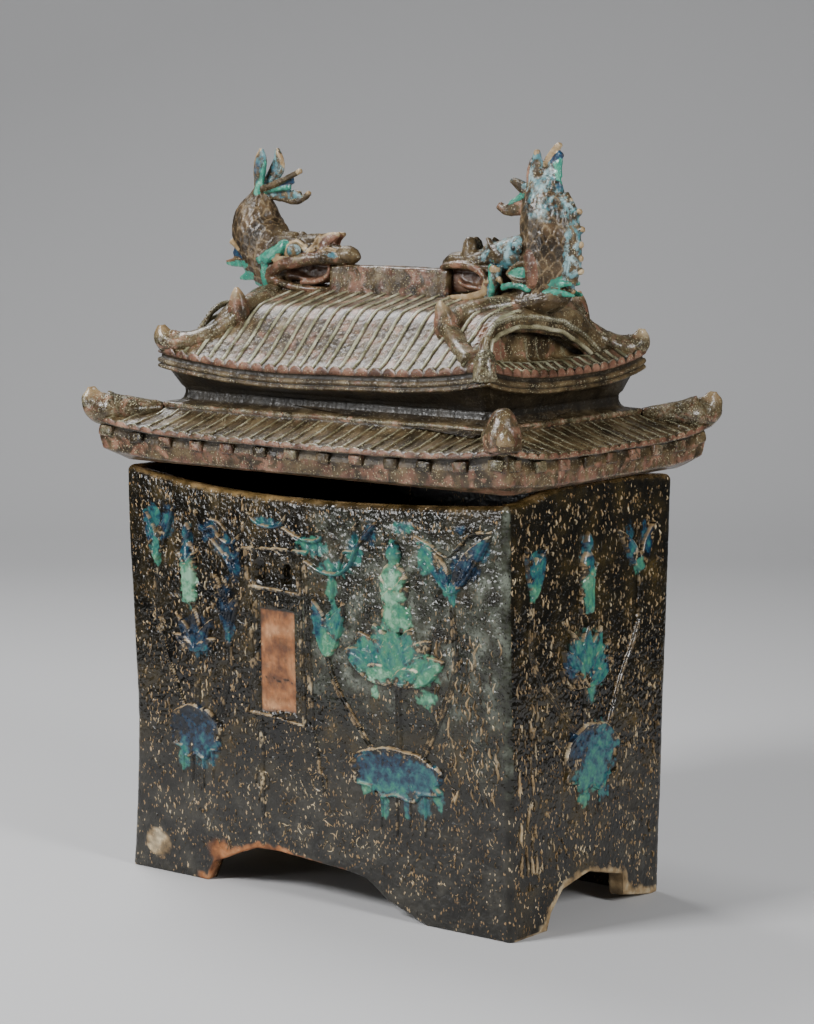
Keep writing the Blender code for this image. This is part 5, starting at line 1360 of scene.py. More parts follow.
def lay_bar(into, path, sizes, values=None, tip_cream=0.0, unevenness=0.0006, **shape):
    rings = clay_bar(path, sizes, **shape)
    rings = rings + facing(rings) * (unevenness * rough(rings, 0.009, 2, 41.0))[:, :, None]
    made = skin("bar", rings, {})
    coloured(made, values or {})
    if tip_cream:
        field = made.verts.layers.float["cream"]
        top = Vector(path[-1])
        for vertex in made.verts:
            vertex[field] = tip_cream * float(smooth(1.3 - (vertex.co - top).length / 0.012))
    merge_into(into, made)


def corner_horn(made, sx, sy, inner, outer, heights, widths, depths):
    """A ridge over a hip that swells and turns up into a horn; heights are above the land."""
    shares = (0.0, 0.28, 0.55, 0.75, 0.88, 0.96, 0.981)
    path = [(sx * mix(inner[0], outer[0], s), sy * mix(inner[1], outer[1], s), REST + z)
            for s, z in zip(shares, heights)]
    lay_bar(made, path, list(zip(widths, depths)), CLAY, tip_cream=0.8, square=0.80, steps=8,
            unevenness=0.0009)


def ridges_and_horns():
    made = bmesh.new()
    for sx in (-1, 1):
        for sy in (-1, 1):
            top = (0.0485, 0.0480, 0.0470, 0.0480, 0.0510, 0.0590, 0.0680)
            wide = (0.0060, 0.0125, 0.0160, 0.0150, 0.0100, 0.0050, 0.0018)
            deep = (0.0050, 0.0095, 0.0135, 0.0160, 0.0150, 0.0110, 0.0035)
            if (sx, sy) == (1, -1):
                # The near corner's horn melted to a blunt pyramid in the kiln
                top = (0.0485, 0.0500, 0.0500, 0.0500, 0.0490, 0.0470, 0.0440)
                wide = (0.0060, 0.0130, 0.0160, 0.0150, 0.0120, 0.0090, 0.0060)
                x, y = mix(TORUS[0], EAVE[0], 0.78), mix(TORUS[1], EAVE[1], 0.78)
                path = [(x, -y, REST + z) for z in (0.0400, 0.0500, 0.0590, 0.0680, 0.0735, 0.0755)]
                halves = [(0.0166, 0.0160), (0.0166, 0.0160), (0.0150, 0.0142), (0.0118, 0.0108),
                          (0.0072, 0.0068), (0.0020, 0.0020)]
                lay_bar(made, path, halves, {"pink": 0.46, "pale": 0.3}, square=1.05, up=(1, 1, 0),
                        unevenness=0.0010)
            corner_horn(made, sx, sy, TORUS, EAVE, top, wide, deep)
    for (sx, sy), (start, foot_y) in DESCENDING.items():
        low = float(slope_height(foot_y)) - REST
        if (sx, sy) == (1, -1):
            # The near corner's horn is lost to a stub, left as it is
            path = [(start + 0.004, -foot_y - 0.002, REST + low + 0.004), (0.1400, -0.0905, 0.5075),
                    (0.1640, -0.1060, 0.4985)]
            lay_bar(made, path, [(0.0085, 0.0060), (0.0095, 0.0070), (0.0105, 0.0080)], CLAY, square=1.3)
            path = [(0.1815, -0.1125, 0.4830), (0.1815, -0.1125, 0.4930), (0.1810, -0.1120, 0.5010),
                    (0.1795, -0.1110, 0.5065), (0.1785, -0.1100, 0.5090)]
            halves = [(0.0125, 0.0105), (0.0125, 0.0105), (0.0115, 0.0095), (0.0075, 0.0065),
                      (0.0030, 0.0030)]
            lay_bar(made, path, halves, {"pink": 0.35, "pale": 0.5}, square=1.15, up=(0.7, 0.7, 0),
                    unevenness=0.0011)
        else:
            top = (low + 0.001, 0.1190, 0.1110, 0.1085, 0.1100, 0.1165, 0.1250)
            wide = (0.0090, 0.0110, 0.0125, 0.0125, 0.0105, 0.0070, 0.0024)
            deep = (0.0085, 0.0095, 0.0100, 0.0110, 0.0120, 0.0095, 0.0030)
            corner_horn(made, sx, sy, (start, foot_y), (MOULDING[0] - 0.004, MOULDING[1] - 0.002), top,
                        wide, deep)
        # Beside the gable: a saddle down the slope, and its horn with a flat outer face
        path = [(sx * 0.1400, sy * 0.0080, 0.5420), (sx * mix(0.140, start, 0.5), sy * 0.0330, 0.5400),
                (sx * start, sy * 0.0560, 0.5345), (sx * start, sy * foot_y, REST + low + 0.006)]
        lay_bar(made, path, [(0.0130, 0.0090), (0.0130, 0.0085), (0.0110, 0.0085), (0.0100, 0.0090)], CLAY,
                square=1.1)
        base = REST + low
        path = [(sx * (start + 0.001), sy * (foot_y - 0.003), base - 0.006),
                (sx * start, sy * (foot_y + 0.001), base + 0.004),
                (sx * (start - 0.001), sy * (foot_y + 0.003), base + 0.014),
                (sx * (start - 0.002), sy * (foot_y + 0.005), base + 0.022),
                (sx * (start - 0.002), sy * (foot_y + 0.006), base + 0.0275)]
        halves = [(0.0095, 0.0070), (0.0105, 0.0075), (0.0085, 0.0058), (0.0052, 0.0040), (0.0018, 0.0016)]
        lay_bar(made, path, halves, {"pink": 0.52, "pale": 0.2, "dark": 0.10}, tip_cream=0.6, square=1.6,
                up=(0, sy, 0.3))
    return piece("ridges_and_horns", made, roof_glaze)


def gable_frames():
    """Two rolls round each gable's arch, the outer one pinched into beads, and a sagging roll on its sill."""
    made = bmesh.new()
    places = np.concatenate([[0.0, 0.008, 0.03, 0.06], np.linspace(0.10, 1.0, 19)])
    for out in (-1, 1):
        for spread, rise, radius, pinched in ((0.0, 0.0, 0.0022, False), (0.0075, 0.0080, 0.0024, True)):
            path = []
            for place in places:
                y = mix(GABLE_SPAN[0] - spread, GABLE_SPAN[1] + spread, place)
                inner = mix(GABLE_SPAN[0], GABLE_SPAN[1], place)
                lift = rise * min(1, 12 * place, 5 * (1 - place) + 0.1)
                z = max(float(gable_top(inner)), GABLE_SILL + 0.004) + lift
                if out < 0:
                    # The left-hand frame lies low on the roof
                    z = min(z, float(slope_height(y)) - 0.0010)
                path.append((out * (GABLE_X + 0.0012 - 0.10 * max(0.0, z - 0.505)), y, z))
            values = {"pale": 0.5, "pink": 0.2} if pinched else {"pale": 0.85, "cream": 0.15}
            lay_bar(made, path, [(radius, radius)] * len(path), values, sides=8, up=(1, 0, 0), steps=4)
            if pinched and out > 0:
                under = [(x - 0.0028, y, z - 0.0066) for x, y, z in path]
                lay_bar(made, under, [(0.0068, 0.0030)] * len(path), {"pale": 0.12, "pink": 0.4}, sides=8,
                        up=(1, 0, 0), steps=4)
            if pinched:
                for point in curve_through(path, 3)[2:-2]:
                    bead = bmesh.new()
                    bmesh.ops.create_uvsphere(bead, u_segments=8, v_segments=5, radius=0.0022)
                    bmesh.ops.translate(bead, vec=(point[0] + out * 0.0010, point[1], point[2] + 0.0010),
                                        verts=bead.verts)
                    coloured(bead, {"pale": 0.6, "pink": 0.25})
                    merge_into(made, bead)
        sill = [(out * (GABLE_X + 0.0026), y, sill_height(y) - 0.0010) for y in np.linspace(-0.080, 0.080, 9)]
        lay_bar(made, sill, [(0.0026, 0.0026)] * 9, {"pale": 0.8, "cream": 0.2}, sides=8)
    return piece("gable_frames", made, roof_glaze)


def main_ridge():
    """The slab ridge between the fish-dragons' mouths, speckled with pink clay."""
    xs = np.linspace(-0.074, 0.062, 60)
    section = [(-0.0135, -0.012), (-0.0115, 0.002), (-0.0100, 0.012), (-0.0094, 0.0205), (-0.0078, 0.0240),
               (-0.004, 0.0249), (0.0, 0.0245), (0.004, 0.0249), (0.0078, 0.0240), (0.0094, 0.0205),
               (0.0100, 0.012), (0.0115, 0.002), (0.0135, -0.012)]
    fine = curve_through(section, 3)
    rings = np.array([[(x, y, SLOPE_TOP + z) for y, z in fine] for x in xs])
    rings = rings + facing(rings) * (0.0008 * rough(rings, 0.012, 3, 51.0))[:, :, None]
    made = skin("main_ridge", rings, {})
    coloured(made, {"pink": 0.50, "pale": 0.25})
    return piece("main_ridge", made, roof_glaze)


ridges_and_horns()
gable_frames()
main_ridge()


# The two fish-dragons on the ridge's ends: hand-built figures that bite the ridge, with upright bodies of
# overlapping scales and fanned tails. Glazed more thickly than the roof, in lilac, turquoise and cobalt.

SCALE_ROW = 0.0066
SCALES_AROUND = 12
SCALE_PROUD = 0.0014
DRAGON_CELL = 0.0011
DRAGON_COLOURS = {
    "scales": {"amber": 0.75}, "olive": {"pale": 0.15}, "bark": {"amber": 0.25, "pink": 0.1},
    "clay": {"pink": 1.0}, "lip": {"pink": 0.50, "pale": 0.25}, "lilac": {"lilac": 1.0},
    "turquoise": {"turquoise": 1.0, "hue": 0.72}, "blue": {"turquoise": 1.0, "hue": 0.18},
    # The mouths are darkened inside with painted shade
    "cream": {"cream": 0.85}, "mouth": {"dark": 0.60, "pink": 1.0},
}
# Forms of each dragon in millimetres: its kind, whether it is on both flanks, then points outward from the
# urn's middle, above the land and across, each with half sizes in the ridge's plane and across it.
LEFT_DRAGON = (
    ("scales", False, ((140, 160, 0, 21, 17), (150, 174, 0, 25, 20), (160, 190, 0, 31, 22),
        (168.5, 206, 0, 29, 22), (170.5, 219, 0, 26, 20), (169, 230, 0, 20, 16), (167, 241, 0, 11, 9),
        (166, 246, 0, 8, 6))),
    ("bark", False, ((146, 190, 0, 20, 19), (131, 193, 0, 16, 19), (112, 192, 0, 13.5, 18),
        (95, 190, 0, 11, 15), (78, 189, 0, 8, 12), (62, 188, 0, 7, 8))),
    ("olive", False, ((74, 189, 0, 6, 9), (62, 188.5, 0, 9, 10), (54, 187.5, 0, 8, 8),
        (48.6, 187, 0, 4, 4))),
    ("lip", True, ((146, 167, -15, 4.5, 4), (136, 173, -18, 5, 4.5), (122, 179, -20, 6, 5),
        (107, 182, -20, 6.5, 5), (92, 184.5, -17, 6, 5), (78, 185, -13, 5, 4.5), (66, 183, -7, 4, 4),
        (61, 181, -1, 3.5, 3.5))),
    ("lip", True, ((146, 167, -15, 4.5, 4), (134, 163, -17, 3.6, 3.5), (119, 160, -18, 3.6, 3.5),
        (101, 157, -17, 3.4, 3.4), (86, 156, -13, 3.2, 3.2), (76, 156, -6, 3, 3), (74, 156, 0, 3, 3))),
    ("mouth", False, ((140, 168, 0, 9, 13), (120, 168, 0, 5, 10), (104, 165, 0, 3, 8),
        (92, 163, 0, 2.5, 6))),
    ("mouth", False, ((135, 178, 0, 6, 15), (110, 183, 0, 5, 14), (90, 183, 0, 4, 12),
        (72, 183, 0, 3.5, 8))),
    ("mouth", False, ((138, 170, 0, 11, 5), (120, 171, 0, 11, 4.5), (104, 171, 0, 10.5, 4),
        (90, 171, 0, 10, 4), (79, 171, 0, 8, 3))),
    ("bark", False, ((146, 158, 0, 6, 17), (120, 156, 0, 4.5, 16), (100, 154, 0, 3.5, 14),
        (80, 153.5, 0, 2.5, 9))),
    ("clay", False, ((112, 162, -4, 3, 5), (96, 163, -5, 3, 4.5), (84, 166, -6, 2.8, 3.5),
        (77, 173, -7, 2.4, 2.6), (78, 182, -8, 2, 2))),
    ("bark", True, ((140, 153, -15, 3, 3), (122, 151.5, -18, 3, 3), (101, 151.5, -17, 2.5, 2.5))),
    ("turquoise", True, ((147, 178, -17, 6, 4), (148, 168, -16, 5, 4), (146.5, 158, -14, 4.5, 4),
        (145.5, 152.5, -12, 4, 4))),
    ("turquoise", True, ((152, 182, -18, 7, 4), (140, 186, -19, 6, 3.5), (128, 192, -18, 5, 4),
        (124, 197, -16, 4, 4))),
    ("cream", True, ((151, 183, -20, 3, 2.6), (171, 190.7, -17, 3.6, 3), (184, 194.7, -14, 3.2, 2.6),
        (194.5, 198.3, -12, 2.6, 2.2))),
    ("blue", True, ((152, 181, -18, 4, 2.4), (172, 184.5, -15, 5.5, 1.8), (190, 189, -12, 5, 1.4))),
    ("turquoise", True, ((155, 177, -18, 4, 2.6), (178, 179, -14, 5, 2), (192, 177.5, -11, 3.6, 1.6),
        (201, 177.5, -10, 1.8, 1.4))),
    ("lip", True, ((160, 180, -18, 2, 2), (181, 182, -14, 2.2, 2), (201, 178.5, -10, 1.8, 1.6))),
    ("turquoise", True, ((156, 172, -15, 5, 3), (172, 167, -10, 5.5, 2), (187.5, 163.2, -6, 1.8, 1.4))),
    ("turquoise", True, ((150, 160, -12, 4, 3), (158, 160, -10, 3.5, 2.4), (166.3, 159.3, -8, 1.6, 1.4))),
    ("cream", True, ((120, 186, -17, 1.4, 2), (117.5, 196, -16, 1.6, 2.4), (110, 200.5, -15, 1.6, 2.4),
        (101.5, 197, -16, 1.5, 2))),
    ("cream", True, ((148, 184, -19, 1.8, 2), (138, 188.5, -20, 1.8, 2), (128, 187.5, -20, 1.6, 2))),
    ("cream", True, ((134, 181.5, -20.5, 1.5, 2), (124, 185, -21, 1.6, 2), (114, 185.5, -21, 1.4, 2))),
    ("bark", True, ((112, 199, -11, 6, 3), (99, 202, -9, 5.5, 2.6), (88.5, 206.5, -6, 2.2, 1.8))),
    ("cream", True, ((88, 207.6, -6, 1.5, 1.6), (91, 200, -11, 1.3, 1.6), (94.5, 191.6, -16, 1.5, 1.6))),
    ("bark", True, ((126, 203, -6, 5, 5), (119, 204, -6, 5, 5))),
    ("bark", True, ((113, 203, -6, 4, 4), (108, 203.5, -6, 3.5, 4))),
    ("clay", True, ((84.5, 193.5, -9, 3.4, 2.6), (81.8, 199.5, -7.5, 6, 2.4), (76, 203.6, -6, 4.4, 2.2),
        (69.5, 206, -4, 2.2, 1.8))),
    ("cream", True, ((83, 191.5, -11, 1.4, 1.6), (87.6, 197, -9, 1.3, 1.6), (86, 204, -7.5, 1.3, 1.6),
        (77, 208, -5.5, 1.4, 1.6), (67.6, 207, -4, 2.2, 2))),
    ("cream", True, ((83, 191.5, -11, 1.4, 1.6), (78, 194.5, -10, 1.2, 1.6), (70, 194, -9, 1.3, 1.6))),
    ("lilac", True, ((78, 189.5, -12, 2.6, 2.4), (71, 187.5, -11, 2.4, 2.2), (65, 184, -9, 1.8, 1.8))),
    ("turquoise", False, ((166, 239, -7, 5, 2.6), (164, 248, -7, 4, 2.4), (160.5, 259, -6, 3, 2),
        (157, 271, -6, 1.6, 1.5))),
    ("lilac", False, ((167, 243, -1, 5, 5), (166, 255, -3, 6.5, 3), (164, 268, -4, 8, 2.6),
        (162.6, 278, -4, 6.4, 2.4), (162.4, 284, -4, 2.4, 2))),
    ("cream", False, ((169.5, 262, -4, 1.4, 3), (168, 273, -4, 1.6, 2.8), (163, 281, -4, 3, 2.6),
        (162.3, 285.4, -4, 2.2, 2.2))),
    ("lilac", False, ((163, 246, 2, 5, 5), (156, 257, 3, 7.5, 3), (149, 268, 4, 8.5, 2.6),
        (148, 277, 4, 6, 2.4), (149.8, 284, 4, 2.6, 2.2))),
    ("cream", False, ((143, 272, 4, 1.5, 2.8), (147.5, 279, 4, 3, 2.6), (150, 285.4, 4, 2.4, 2.2))),
    ("bark", False, ((160, 248, -5, 3, 3), (145, 252.5, -6, 3, 2.6), (130, 258, -6, 2.8, 2.5),
        (115, 264, -6, 2.6, 2.5))),
    ("cream", False, ((114.5, 264.2, -6, 2.8, 2.8), (111.8, 265.4, -6, 2.6, 2.6))),
    ("blue", False, ((152, 250, -2, 4, 2.2), (138, 253, -2, 5, 1.8), (124, 257.5, -3, 4.6, 1.6))),
    ("turquoise", False, ((158, 246, -3, 3, 2.6), (144, 248, -3, 2.8, 2.4), (127, 249.5, -3, 2.4, 2))),
    ("lilac", False, ((158, 245, 2, 4, 3.5), (144, 243.5, 2, 5.5, 3), (130, 243, 2, 5, 2.6),
        (119, 242.5, 2, 4, 2.6))),
    ("bark", False, ((154, 241, 3, 4, 4), (140, 238.5, 3, 3.2, 3), (127, 236.5, 3, 3.4, 3),
        (116, 240, 3, 3.2, 3), (110, 244, 3, 2.6, 2.6))),
    ("cream", False, ((112, 243, 3, 2.8, 2.8), (108.6, 244.8, 3, 2.6, 2.6))),
)
RIGHT_DRAGON = (
    ("scales", False, ((150, 156, 0, 22, 16), (157, 168, 0, 26, 19), (162, 184, 0, 28, 20),
        (165, 202, 0, 28, 20.5), (166, 216, 0, 27.5, 20), (165, 228, 0, 26.5, 19), (163.6, 239, 0, 24, 16),
        (164, 250, 0, 20, 12), (166, 256, 0, 16, 9))),
    ("lilac", False, ((152, 200, 0, 17, 18), (140, 196, 0, 17, 19), (126, 194, 0, 16, 18),
        (113, 193, 0, 13, 15), (103, 193, 0, 12, 12))),
    ("olive", False, ((108, 190, 0, 11, 14), (92, 189, 0, 9, 14), (76, 187.5, 0, 8.5, 12),
        (64, 187, 0, 8, 9), (55, 184, 0, 5.5, 6))),
    ("olive", True, ((84, 192, -5, 8, 7), (83.8, 200, -4.5, 7.4, 6), (83.4, 206, -4, 5, 4.5))),
    ("bark", True, ((103, 208, -3, 1.8, 3), (111, 202, -9, 2, 3), (119, 197, -14, 2, 3),
        (126, 193, -17, 1.8, 2.4))),
    ("lip", True, ((53, 180, 0, 3, 3), (55, 181, -6, 3, 3), (73, 184, -12, 3.2, 3.2),
        (94, 183, -16, 3.4, 3.4), (108, 177.6, -18, 3.4, 3.4), (113, 169, -19, 3.6, 3.6))),
    ("cream", True, ((113, 170, -19, 3.6, 3.6), (109.4, 161, -18, 4, 3.8), (95.6, 156.6, -17, 4, 3.8),
        (77, 154.6, -14, 3.4, 3.2), (62, 153.8, -9, 2.6, 2.6), (58, 153.6, 0, 2.4, 2.4))),
    ("mouth", False, ((124, 170, 0, 12, 15), (110, 170, 0, 7, 12), (98, 168, 0, 4, 9))),
    ("mouth", False, ((115, 180, 0, 5, 15), (95, 182, 0, 4.5, 14), (75, 183, 0, 3.5, 11),
        (60, 181, 0, 2.5, 6))),
    ("mouth", False, ((114, 168, 0, 12, 5), (100, 169, 0, 12, 4.5), (84, 169, 0, 11.5, 4),
        (72, 168.5, 0, 11, 4), (62, 168, 0, 9, 3))),
    ("clay", False, ((108, 163, -3, 3, 6), (92, 164, -4, 3, 5), (80, 166, -5, 2.6, 4),
        (72, 170, -5, 2, 2.6))),
    ("olive", False, ((122, 158, 0, 7, 16), (100, 153.5, 0, 4.5, 15), (80, 152.5, 0, 3.5, 12),
        (62, 152, 0, 2.2, 7))),
    ("lilac", True, ((122, 184, -16, 6, 5), (121, 174, -17, 5, 5), (118, 163, -17, 4.6, 4),
        (112, 156, -16, 3.5, 3.5))),
    ("turquoise", True, ((117, 186, -17, 3, 2.4), (118.6, 176, -19.4, 3, 2.6), (120, 166, -19.6, 3.2, 2.6),
        (117, 157, -18, 3, 2.6))),
    ("cream", True, ((123.5, 182.5, -19, 4, 3.6), (119.6, 182.2, -19.5, 3, 2.8))),
    ("cream", True, ((130.5, 173.5, -20, 3.4, 3.2), (127.5, 172.5, -20.5, 3.2, 3))),
    ("turquoise", True, ((138, 179, -18, 5, 3), (148, 180.5, -18.5, 7, 3), (158, 180, -18, 6, 3))),
    ("bark", True, ((136.5, 178.5, -20, 1.7, 2), (145, 185.5, -21.4, 1.8, 2), (152, 188.5, -21.6, 2.2, 2),
        (158, 189, -21, 2, 2))),
    ("bark", True, ((136.5, 178.5, -20, 1.7, 2), (145, 173.6, -21, 1.7, 2), (158, 172.6, -21, 1.7, 2))),
    ("clay", True, ((160.5, 197, -19, 7, 4), (163, 188, -20.5, 7.5, 4), (163.5, 178, -20.5, 7, 4),
        (162, 171, -19, 6, 3.6))),
    ("turquoise", True, ((130, 166, -19, 3, 2.6), (141, 168.6, -20.5, 3, 2.4), (152, 168, -20.5, 3, 2.4),
        (160, 164.6, -19.5, 2.4, 2.4))),
    ("bark", True, ((126, 152, -8, 9, 12), (142, 153, -9, 11, 13), (160, 154, -8, 11.5, 13),
        (175, 158, -6, 9, 11), (184, 163, -4, 5, 7))),
    ("lilac", False, ((184, 249, 0, 3.4, 4), (191, 236, 0, 4, 5), (195, 220, 0, 4, 5),
        (196, 204, 0, 4.4, 6), (195, 188, 0, 4.6, 7), (191, 172, 0, 4.6, 6))),
    ("turquoise", True, ((172, 171, -10, 4, 3), (184, 170.5, -8, 3.4, 2), (196, 171, -6, 1.6, 1.4))),
    ("turquoise", True, ((172, 163, -12, 4.4, 3), (186, 162.4, -9, 3.6, 2), (199, 160.8, -6, 1.5, 1.3))),
    ("lilac", False, ((153, 250, -2, 7, 5), (154, 264.6, -3, 7.4, 3), (155.5, 275, -3, 7, 2.6),
        (156, 282, -3, 4.4, 2.4), (156.2, 286, -3, 2.4, 2.2))),
    ("cream", False, ((155.8, 279, -3.5, 3.2, 2.8), (156.2, 287, -3.5, 2.4, 2.4))),
    ("lip", False, ((147.6, 252, -3, 1.6, 3), (147, 266, -3.4, 1.5, 2.6), (150.6, 278, -3.5, 1.4, 2.4))),
    ("lilac", False, ((169, 252, 0, 13, 7), (168.5, 262, 0, 10.5, 4), (169, 270, 1, 9.4, 3))),
    ("turquoise", False, ((176, 262, 1, 4, 4), (173.6, 270, 1.4, 5.4, 3), (175, 278, 2, 5, 2.6))),
    ("blue", False, ((169, 272, 1, 5.4, 2.6), (174, 279, 2, 5, 2.6), (178.6, 284, 2.4, 3.4, 2.4))),
    ("cream", False, ((154.6, 264, 2, 2.6, 2.8), (163.3, 277.6, 2.6, 3.2, 3), (170, 285, 3, 3.6, 3.2))),
    ("cream", False, ((170, 285, 3, 3.6, 3.2), (174, 289.6, 3, 3.4, 3), (176.8, 291.6, 3, 2.6, 2.6))),
    ("bark", False, ((144, 250, 0, 5, 5), (137, 254, 0, 5, 4), (130, 257.6, 0, 3.6, 3),
        (125.6, 260, 0, 2.4, 2.4))),
    ("lilac", False, ((143, 254, -1, 4, 4), (136, 258, -1, 2.6, 3), (128, 260.6, -1, 2, 2.4))),
    ("lip", False, ((144, 238, 0, 8, 5), (131, 235, 0, 7, 4), (120, 233.6, 0, 5, 3.4),
        (112, 237.6, 0, 3.8, 3))),
    ("turquoise", False, ((142, 247, -1, 4, 4), (134, 243, -1, 3, 3), (126, 239.5, -1, 2.6, 2.6))),
)
LEFT_EYE = (0.1093, 0.1919, 0.0200, 0.0068)
RIGHT_EYE = (0.1462, 0.2014, 0.0192, 0.0058)
CREST_KNOBS = ((190, 243), (200.5, 235), (204, 219), (203, 205), (203, 192.5), (203, 180.5), (193.5, 162))


def form_lines(forms, out):
    """Each form of a dragon as its kind and a line of points with half sizes, in metres on the urn."""
    for kind, both, points in forms:
        for flank in ((1, -1) if both else (1,)):
            table = np.array(points) * 0.001
            place = np.stack([out * table[:, 0], flank * table[:, 2], REST + table[:, 1]], axis=1)
            yield kind, place, table[:, 3:]


def scale_relief(along, turn):
    """Overlapping scales with free edges towards the tail: how proud each point is, and how near an edge."""
    proud = np.zeros_like(along)
    edge = np.zeros_like(along)
    free = np.ones_like(along, bool)
    row_here = np.floor(along / SCALE_ROW)
    for back in (2, 1, 0):
        row = row_here - back
        column = turn * SCALES_AROUND / (2 * math.pi) + 0.5 * (row % 2)
        beside = (column - np.round(column)) * 1.90
        ahead = (along / SCALE_ROW - row) / 2.35
        reach = np.sqrt(beside ** 2 + ahead ** 2)
        on = free & (reach < 1)
        proud[on] = 0.35 + 0.65 * reach[on]
        edge[on] = smooth((reach[on] - 0.82) / 0.12)
        free &= ~on
    return proud, edge


def dragon(name, out, forms, eye, around):
    """One fish-dragon: its forms are joined into a single skin, then coloured form by form and scaled."""
    made = bmesh.new()
    lines = []
    for kind, place, halves in form_lines(forms, out):
        runs_across = abs(place[-1][1] - place[0][1]) > np.linalg.norm((place[-1] - place[0])[[0, 2]])
        if halves[-1].mean() > 0.0038:
            ahead = (place[-1] - place[-2]) / np.linalg.norm(place[-1] - place[-2])
            place = np.vstack([place, place[-1] + ahead * halves[-1].mean() * 0.6])
            halves = np.vstack([halves, halves[-1] * 0.45])
        rings = clay_bar(place.tolist(), halves.tolist(), sides=12,
                         up=(0, 0, 1) if runs_across else (0, 1, 0), steps=4)
        merge_into(made, skin("form", rings, {}))
        lines.append((kind, curve_through([(*p, *h) for p, h in zip(place, halves)], 6)))
    if out > 0:
        for u, z in CREST_KNOBS:
            inward = Vector((0.163 - u * 0.001, 0, 0.215 - z * 0.001 - 0.012)).normalized() * 0.012
            tip = Vector((u * 0.001, 0, REST + z * 0.001))
            path = [tuple(tip + inward), tuple(tip + inward * 0.4), tuple(tip)]
            halves = [(0.0052, 0.0050), (0.0040, 0.0036), (0.0026, 0.0026)]
            merge_into(made, skin("knob", clay_bar(path, halves, sides=10, up=(0, 1, 0), steps=3), {}))
            lines.append(("lilac", np.array([(*p, *h) for p, h in zip(path[:2], halves)])))
            lines.append(("cream", np.array([(*path[2], *halves[2])])))
    rough_form = bpy.data.meshes.new("form")
    made.to_mesh(rough_form)
    made.free()
    holder = bpy.data.objects.new("form", rough_form)
    bpy.context.scene.collection.objects.link(holder)
    remesh = holder.modifiers.new("one_skin", "REMESH")
    remesh.mode = "VOXEL"
    remesh.voxel_size = DRAGON_CELL
    skin_mesh = bpy.data.meshes.new_from_object(holder.evaluated_get(bpy.context.evaluated_depsgraph_get()))
    bpy.data.objects.remove(holder)
    count = len(skin_mesh.vertices)
    points = np.empty(count * 3)
    normals = np.empty(count * 3)
    skin_mesh.vertices.foreach_get("co", points)
    skin_mesh.vertices.foreach_get("normal", normals)
    points, normals = points.reshape(-1, 3), normals.reshape(-1, 3)
    # Which form each point of the skin belongs to
    wander = 0.0012 * rough(points, 0.006, 2, 61.0)
    nearest = np.full(count, 1e9)
    owner = np.zeros(count, int)
    for number, (kind, line) in enumerate(lines):
        for sample in line:
            gap = np.linalg.norm(points - sample[:3], axis=1) - sample[3:5].mean() * 0.9
            gap = gap + (wander if number % 2 else -wander) * 0.6 - (0 if kind == "scales" else 0.0006)
            closer = gap < nearest
            nearest[closer] = gap[closer]
            owner[closer] = number
    kinds = np.array([kind for kind, line in lines])[owner]
    fields = {field: np.zeros(count) for field in LID_FIELDS}
    for kind, values in DRAGON_COLOURS.items():
        for field, value in values.items():
            fields[field][kinds == kind] = value
    # Scales, laid out along the body's spine and round it
    spine = next(line for kind, line in lines if kind == "scales")
    lengths = np.concatenate([[0], np.cumsum(np.linalg.norm(np.diff(spine[:, :3], axis=0), axis=1))])
    index = np.argmin(np.linalg.norm(points[:, None, :] - spine[None, :, :3], axis=2), axis=1)
    ahead = np.gradient(spine[:, :3], axis=0)
    ahead /= np.linalg.norm(ahead, axis=1, keepdims=True)
    away = points - spine[index, :3]
    along = lengths[index] + np.sum(away * ahead[index], axis=1)
    outward = np.stack([ahead[:, 2], np.zeros(len(ahead)), -ahead[:, 0]], axis=1) * out
    turn = np.arctan2(np.sum(away * outward[index], axis=1), -away[:, 1])
    proud, edge = scale_relief(along, turn * around / SCALES_AROUND)
    scaly = (kinds == "scales").astype(float)
    fields["cream"] = np.maximum(fields["cream"], scaly * edge * 0.28)
    shift = scaly * (proud - 0.5) * SCALE_PROUD + 0.00045 * rough(points, 0.005, 3, 62.0)
    if out > 0:
        pale_back = scaly * smooth((points[:, 2] - REST - 0.222 + 4 * wander) / 0.012)
        pale_back *= smooth((points[:, 0] - 0.148) / 0.010) * 0.95
        fields["lilac"] = np.maximum(fields["lilac"], pale_back)
    points = points + normals * shift[:, None]
    skin_mesh.vertices.foreach_set("co", points.ravel())
    for field, values in fields.items():
        skin_mesh.attributes.new(field, "FLOAT", "POINT").data.foreach_set("value", values)
    body = bmesh.new()
    body.from_mesh(skin_mesh)
    bpy.data.meshes.remove(skin_mesh)
    for flank in (-1, 1):
        u, z, depth, radius = eye
        for stand, size, values in ((0.0, radius, {"lilac": 0.9}),
                                    (radius * 0.62, radius * 0.50, {"dark": 1.0})):
            ball = bmesh.new()
            bmesh.ops.create_uvsphere(ball, u_segments=20, v_segments=12, radius=size)
            bmesh.ops.translate(ball, vec=(out * u, flank * (depth + stand), REST + z), verts=ball.verts)
            coloured(ball, values if out > 0 or not stand else {"lilac": 1.0})
            merge_into(body, ball)
    return piece(name, body, roof_glaze)


dragon("fish_dragon_left", -1, LEFT_DRAGON, LEFT_EYE, 11)
dragon("fish_dragon_right", 1, RIGHT_DRAGON, RIGHT_EYE, 12)


# The studio: a strip of pale paper that runs up behind the urn, with dark on both sides of it for the gloss
# to mirror. A key light stands at the front left, others on the right, low in front and above. The camera
# stands where the photograph was taken.

CAMERA_YAW = 38.38
CAMERA_DOWN = 7.58
FLOOR_TURN = 38.4
FLOOR_BEND = 2.2


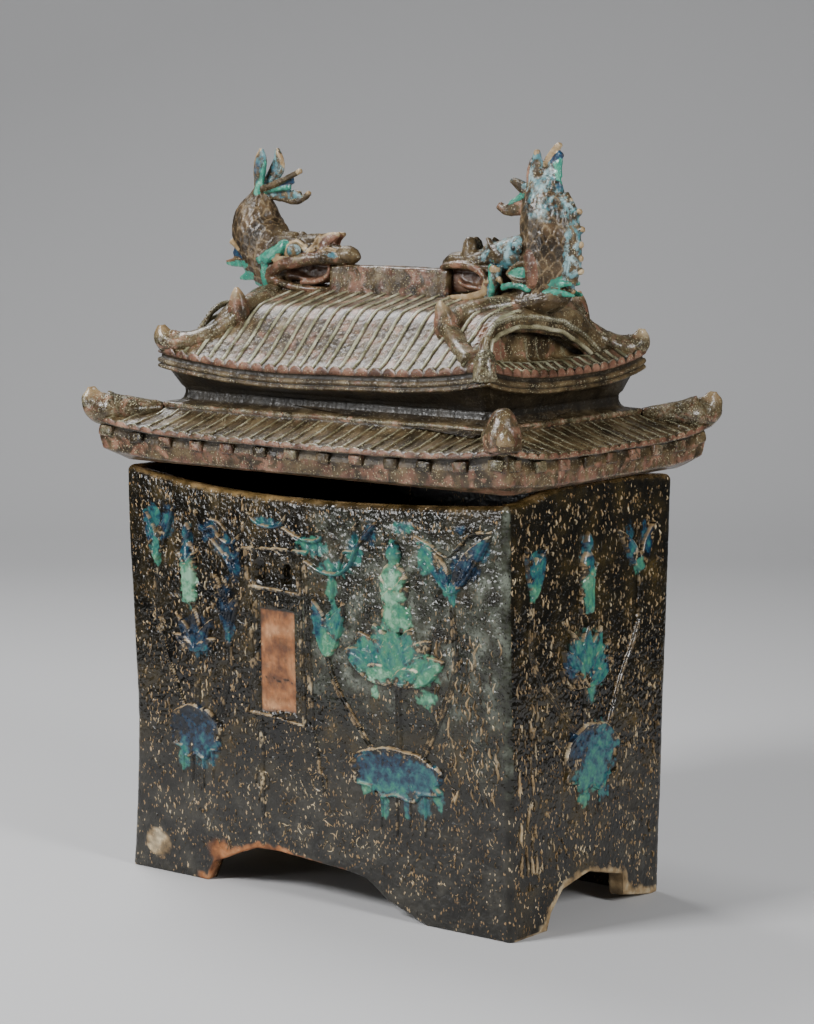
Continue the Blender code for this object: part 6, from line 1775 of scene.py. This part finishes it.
def studio():
    paper_strip = bmesh.new()
    bmesh.ops.create_grid(paper_strip, x_segments=4, y_segments=40, size=1)
    for vertex in paper_strip.verts:
        along = vertex.co.y
        depth = mix(-6.0, 5.0, (along + 1) / 2)
        rise = max(0.0, depth - FLOOR_BEND)
        vertex.co = Vector((vertex.co.x * mix(1.05, 1.5, max(0, along)),
                            min(depth, FLOOR_BEND) + 2.0 * (1 - math.exp(-rise / 2.0)), 0.55 * rise ** 1.6))
    turn = Matrix.Rotation(math.radians(FLOOR_TURN), 3, "Z")
    bmesh.ops.rotate(paper_strip, verts=paper_strip.verts, cent=(0, 0, 0), matrix=turn)
    mesh = bpy.data.meshes.new("floor")
    paper_strip.to_mesh(mesh)
    paper_strip.free()
    mesh.shade_smooth()
    floor = bpy.data.objects.new("floor", mesh)
    bpy.context.scene.collection.objects.link(floor)
    paper = bpy.data.materials.new("pale_paper")
    paper.use_nodes = True
    paper.node_tree.nodes["Principled BSDF"].inputs["Base Color"].default_value = linear("#c4c4c5")
    paper.node_tree.nodes["Principled BSDF"].inputs["Roughness"].default_value = 0.8
    mesh.materials.append(paper)


def soft_light(name, place, target, size, power):
    lamp = bpy.data.lights.new(name, "AREA")
    lamp.shape = "RECTANGLE"
    lamp.size, lamp.size_y = size
    lamp.energy = power
    holder = bpy.data.objects.new(name, lamp)
    holder.location = place
    holder.rotation_euler = (Vector(target) - Vector(place)).to_track_quat("-Z", "Y").to_euler()
    bpy.context.scene.collection.objects.link(holder)


studio()
soft_light("key", (-0.9, -2.3, 2.1), (0, 0, 0.3), (0.8, 0.8), 100)
soft_light("right_side", (2.4, -0.4, 1.3), (0, 0, 0.40), (0.6, 1.0), 52)
soft_light("front_sheen", (-1.25, -1.95, 0.40), (0.12, -0.12, 0.25), (0.30, 0.60), 9)
soft_light("top", (-1.2, 0.35, 2.1), (0, 0, 0.5), (0.9, 0.9), 34)
world = bpy.data.worlds.new("studio")
world.use_nodes = True
world.node_tree.nodes["Background"].inputs["Color"].default_value = linear("#c9ccd0")
world.node_tree.nodes["Background"].inputs["Strength"].default_value = 0.15
bpy.context.scene.world = world

lens = bpy.data.cameras.new("camera")
lens.lens = 105.47
lens.sensor_width = 36
camera = bpy.data.objects.new("camera", lens)
camera.location = (1.70316, -2.13948, 0.70848)
camera.rotation_euler = (math.radians(90 - CAMERA_DOWN), 0, math.radians(CAMERA_YAW))
bpy.context.scene.collection.objects.link(camera)
bpy.context.scene.camera = camera
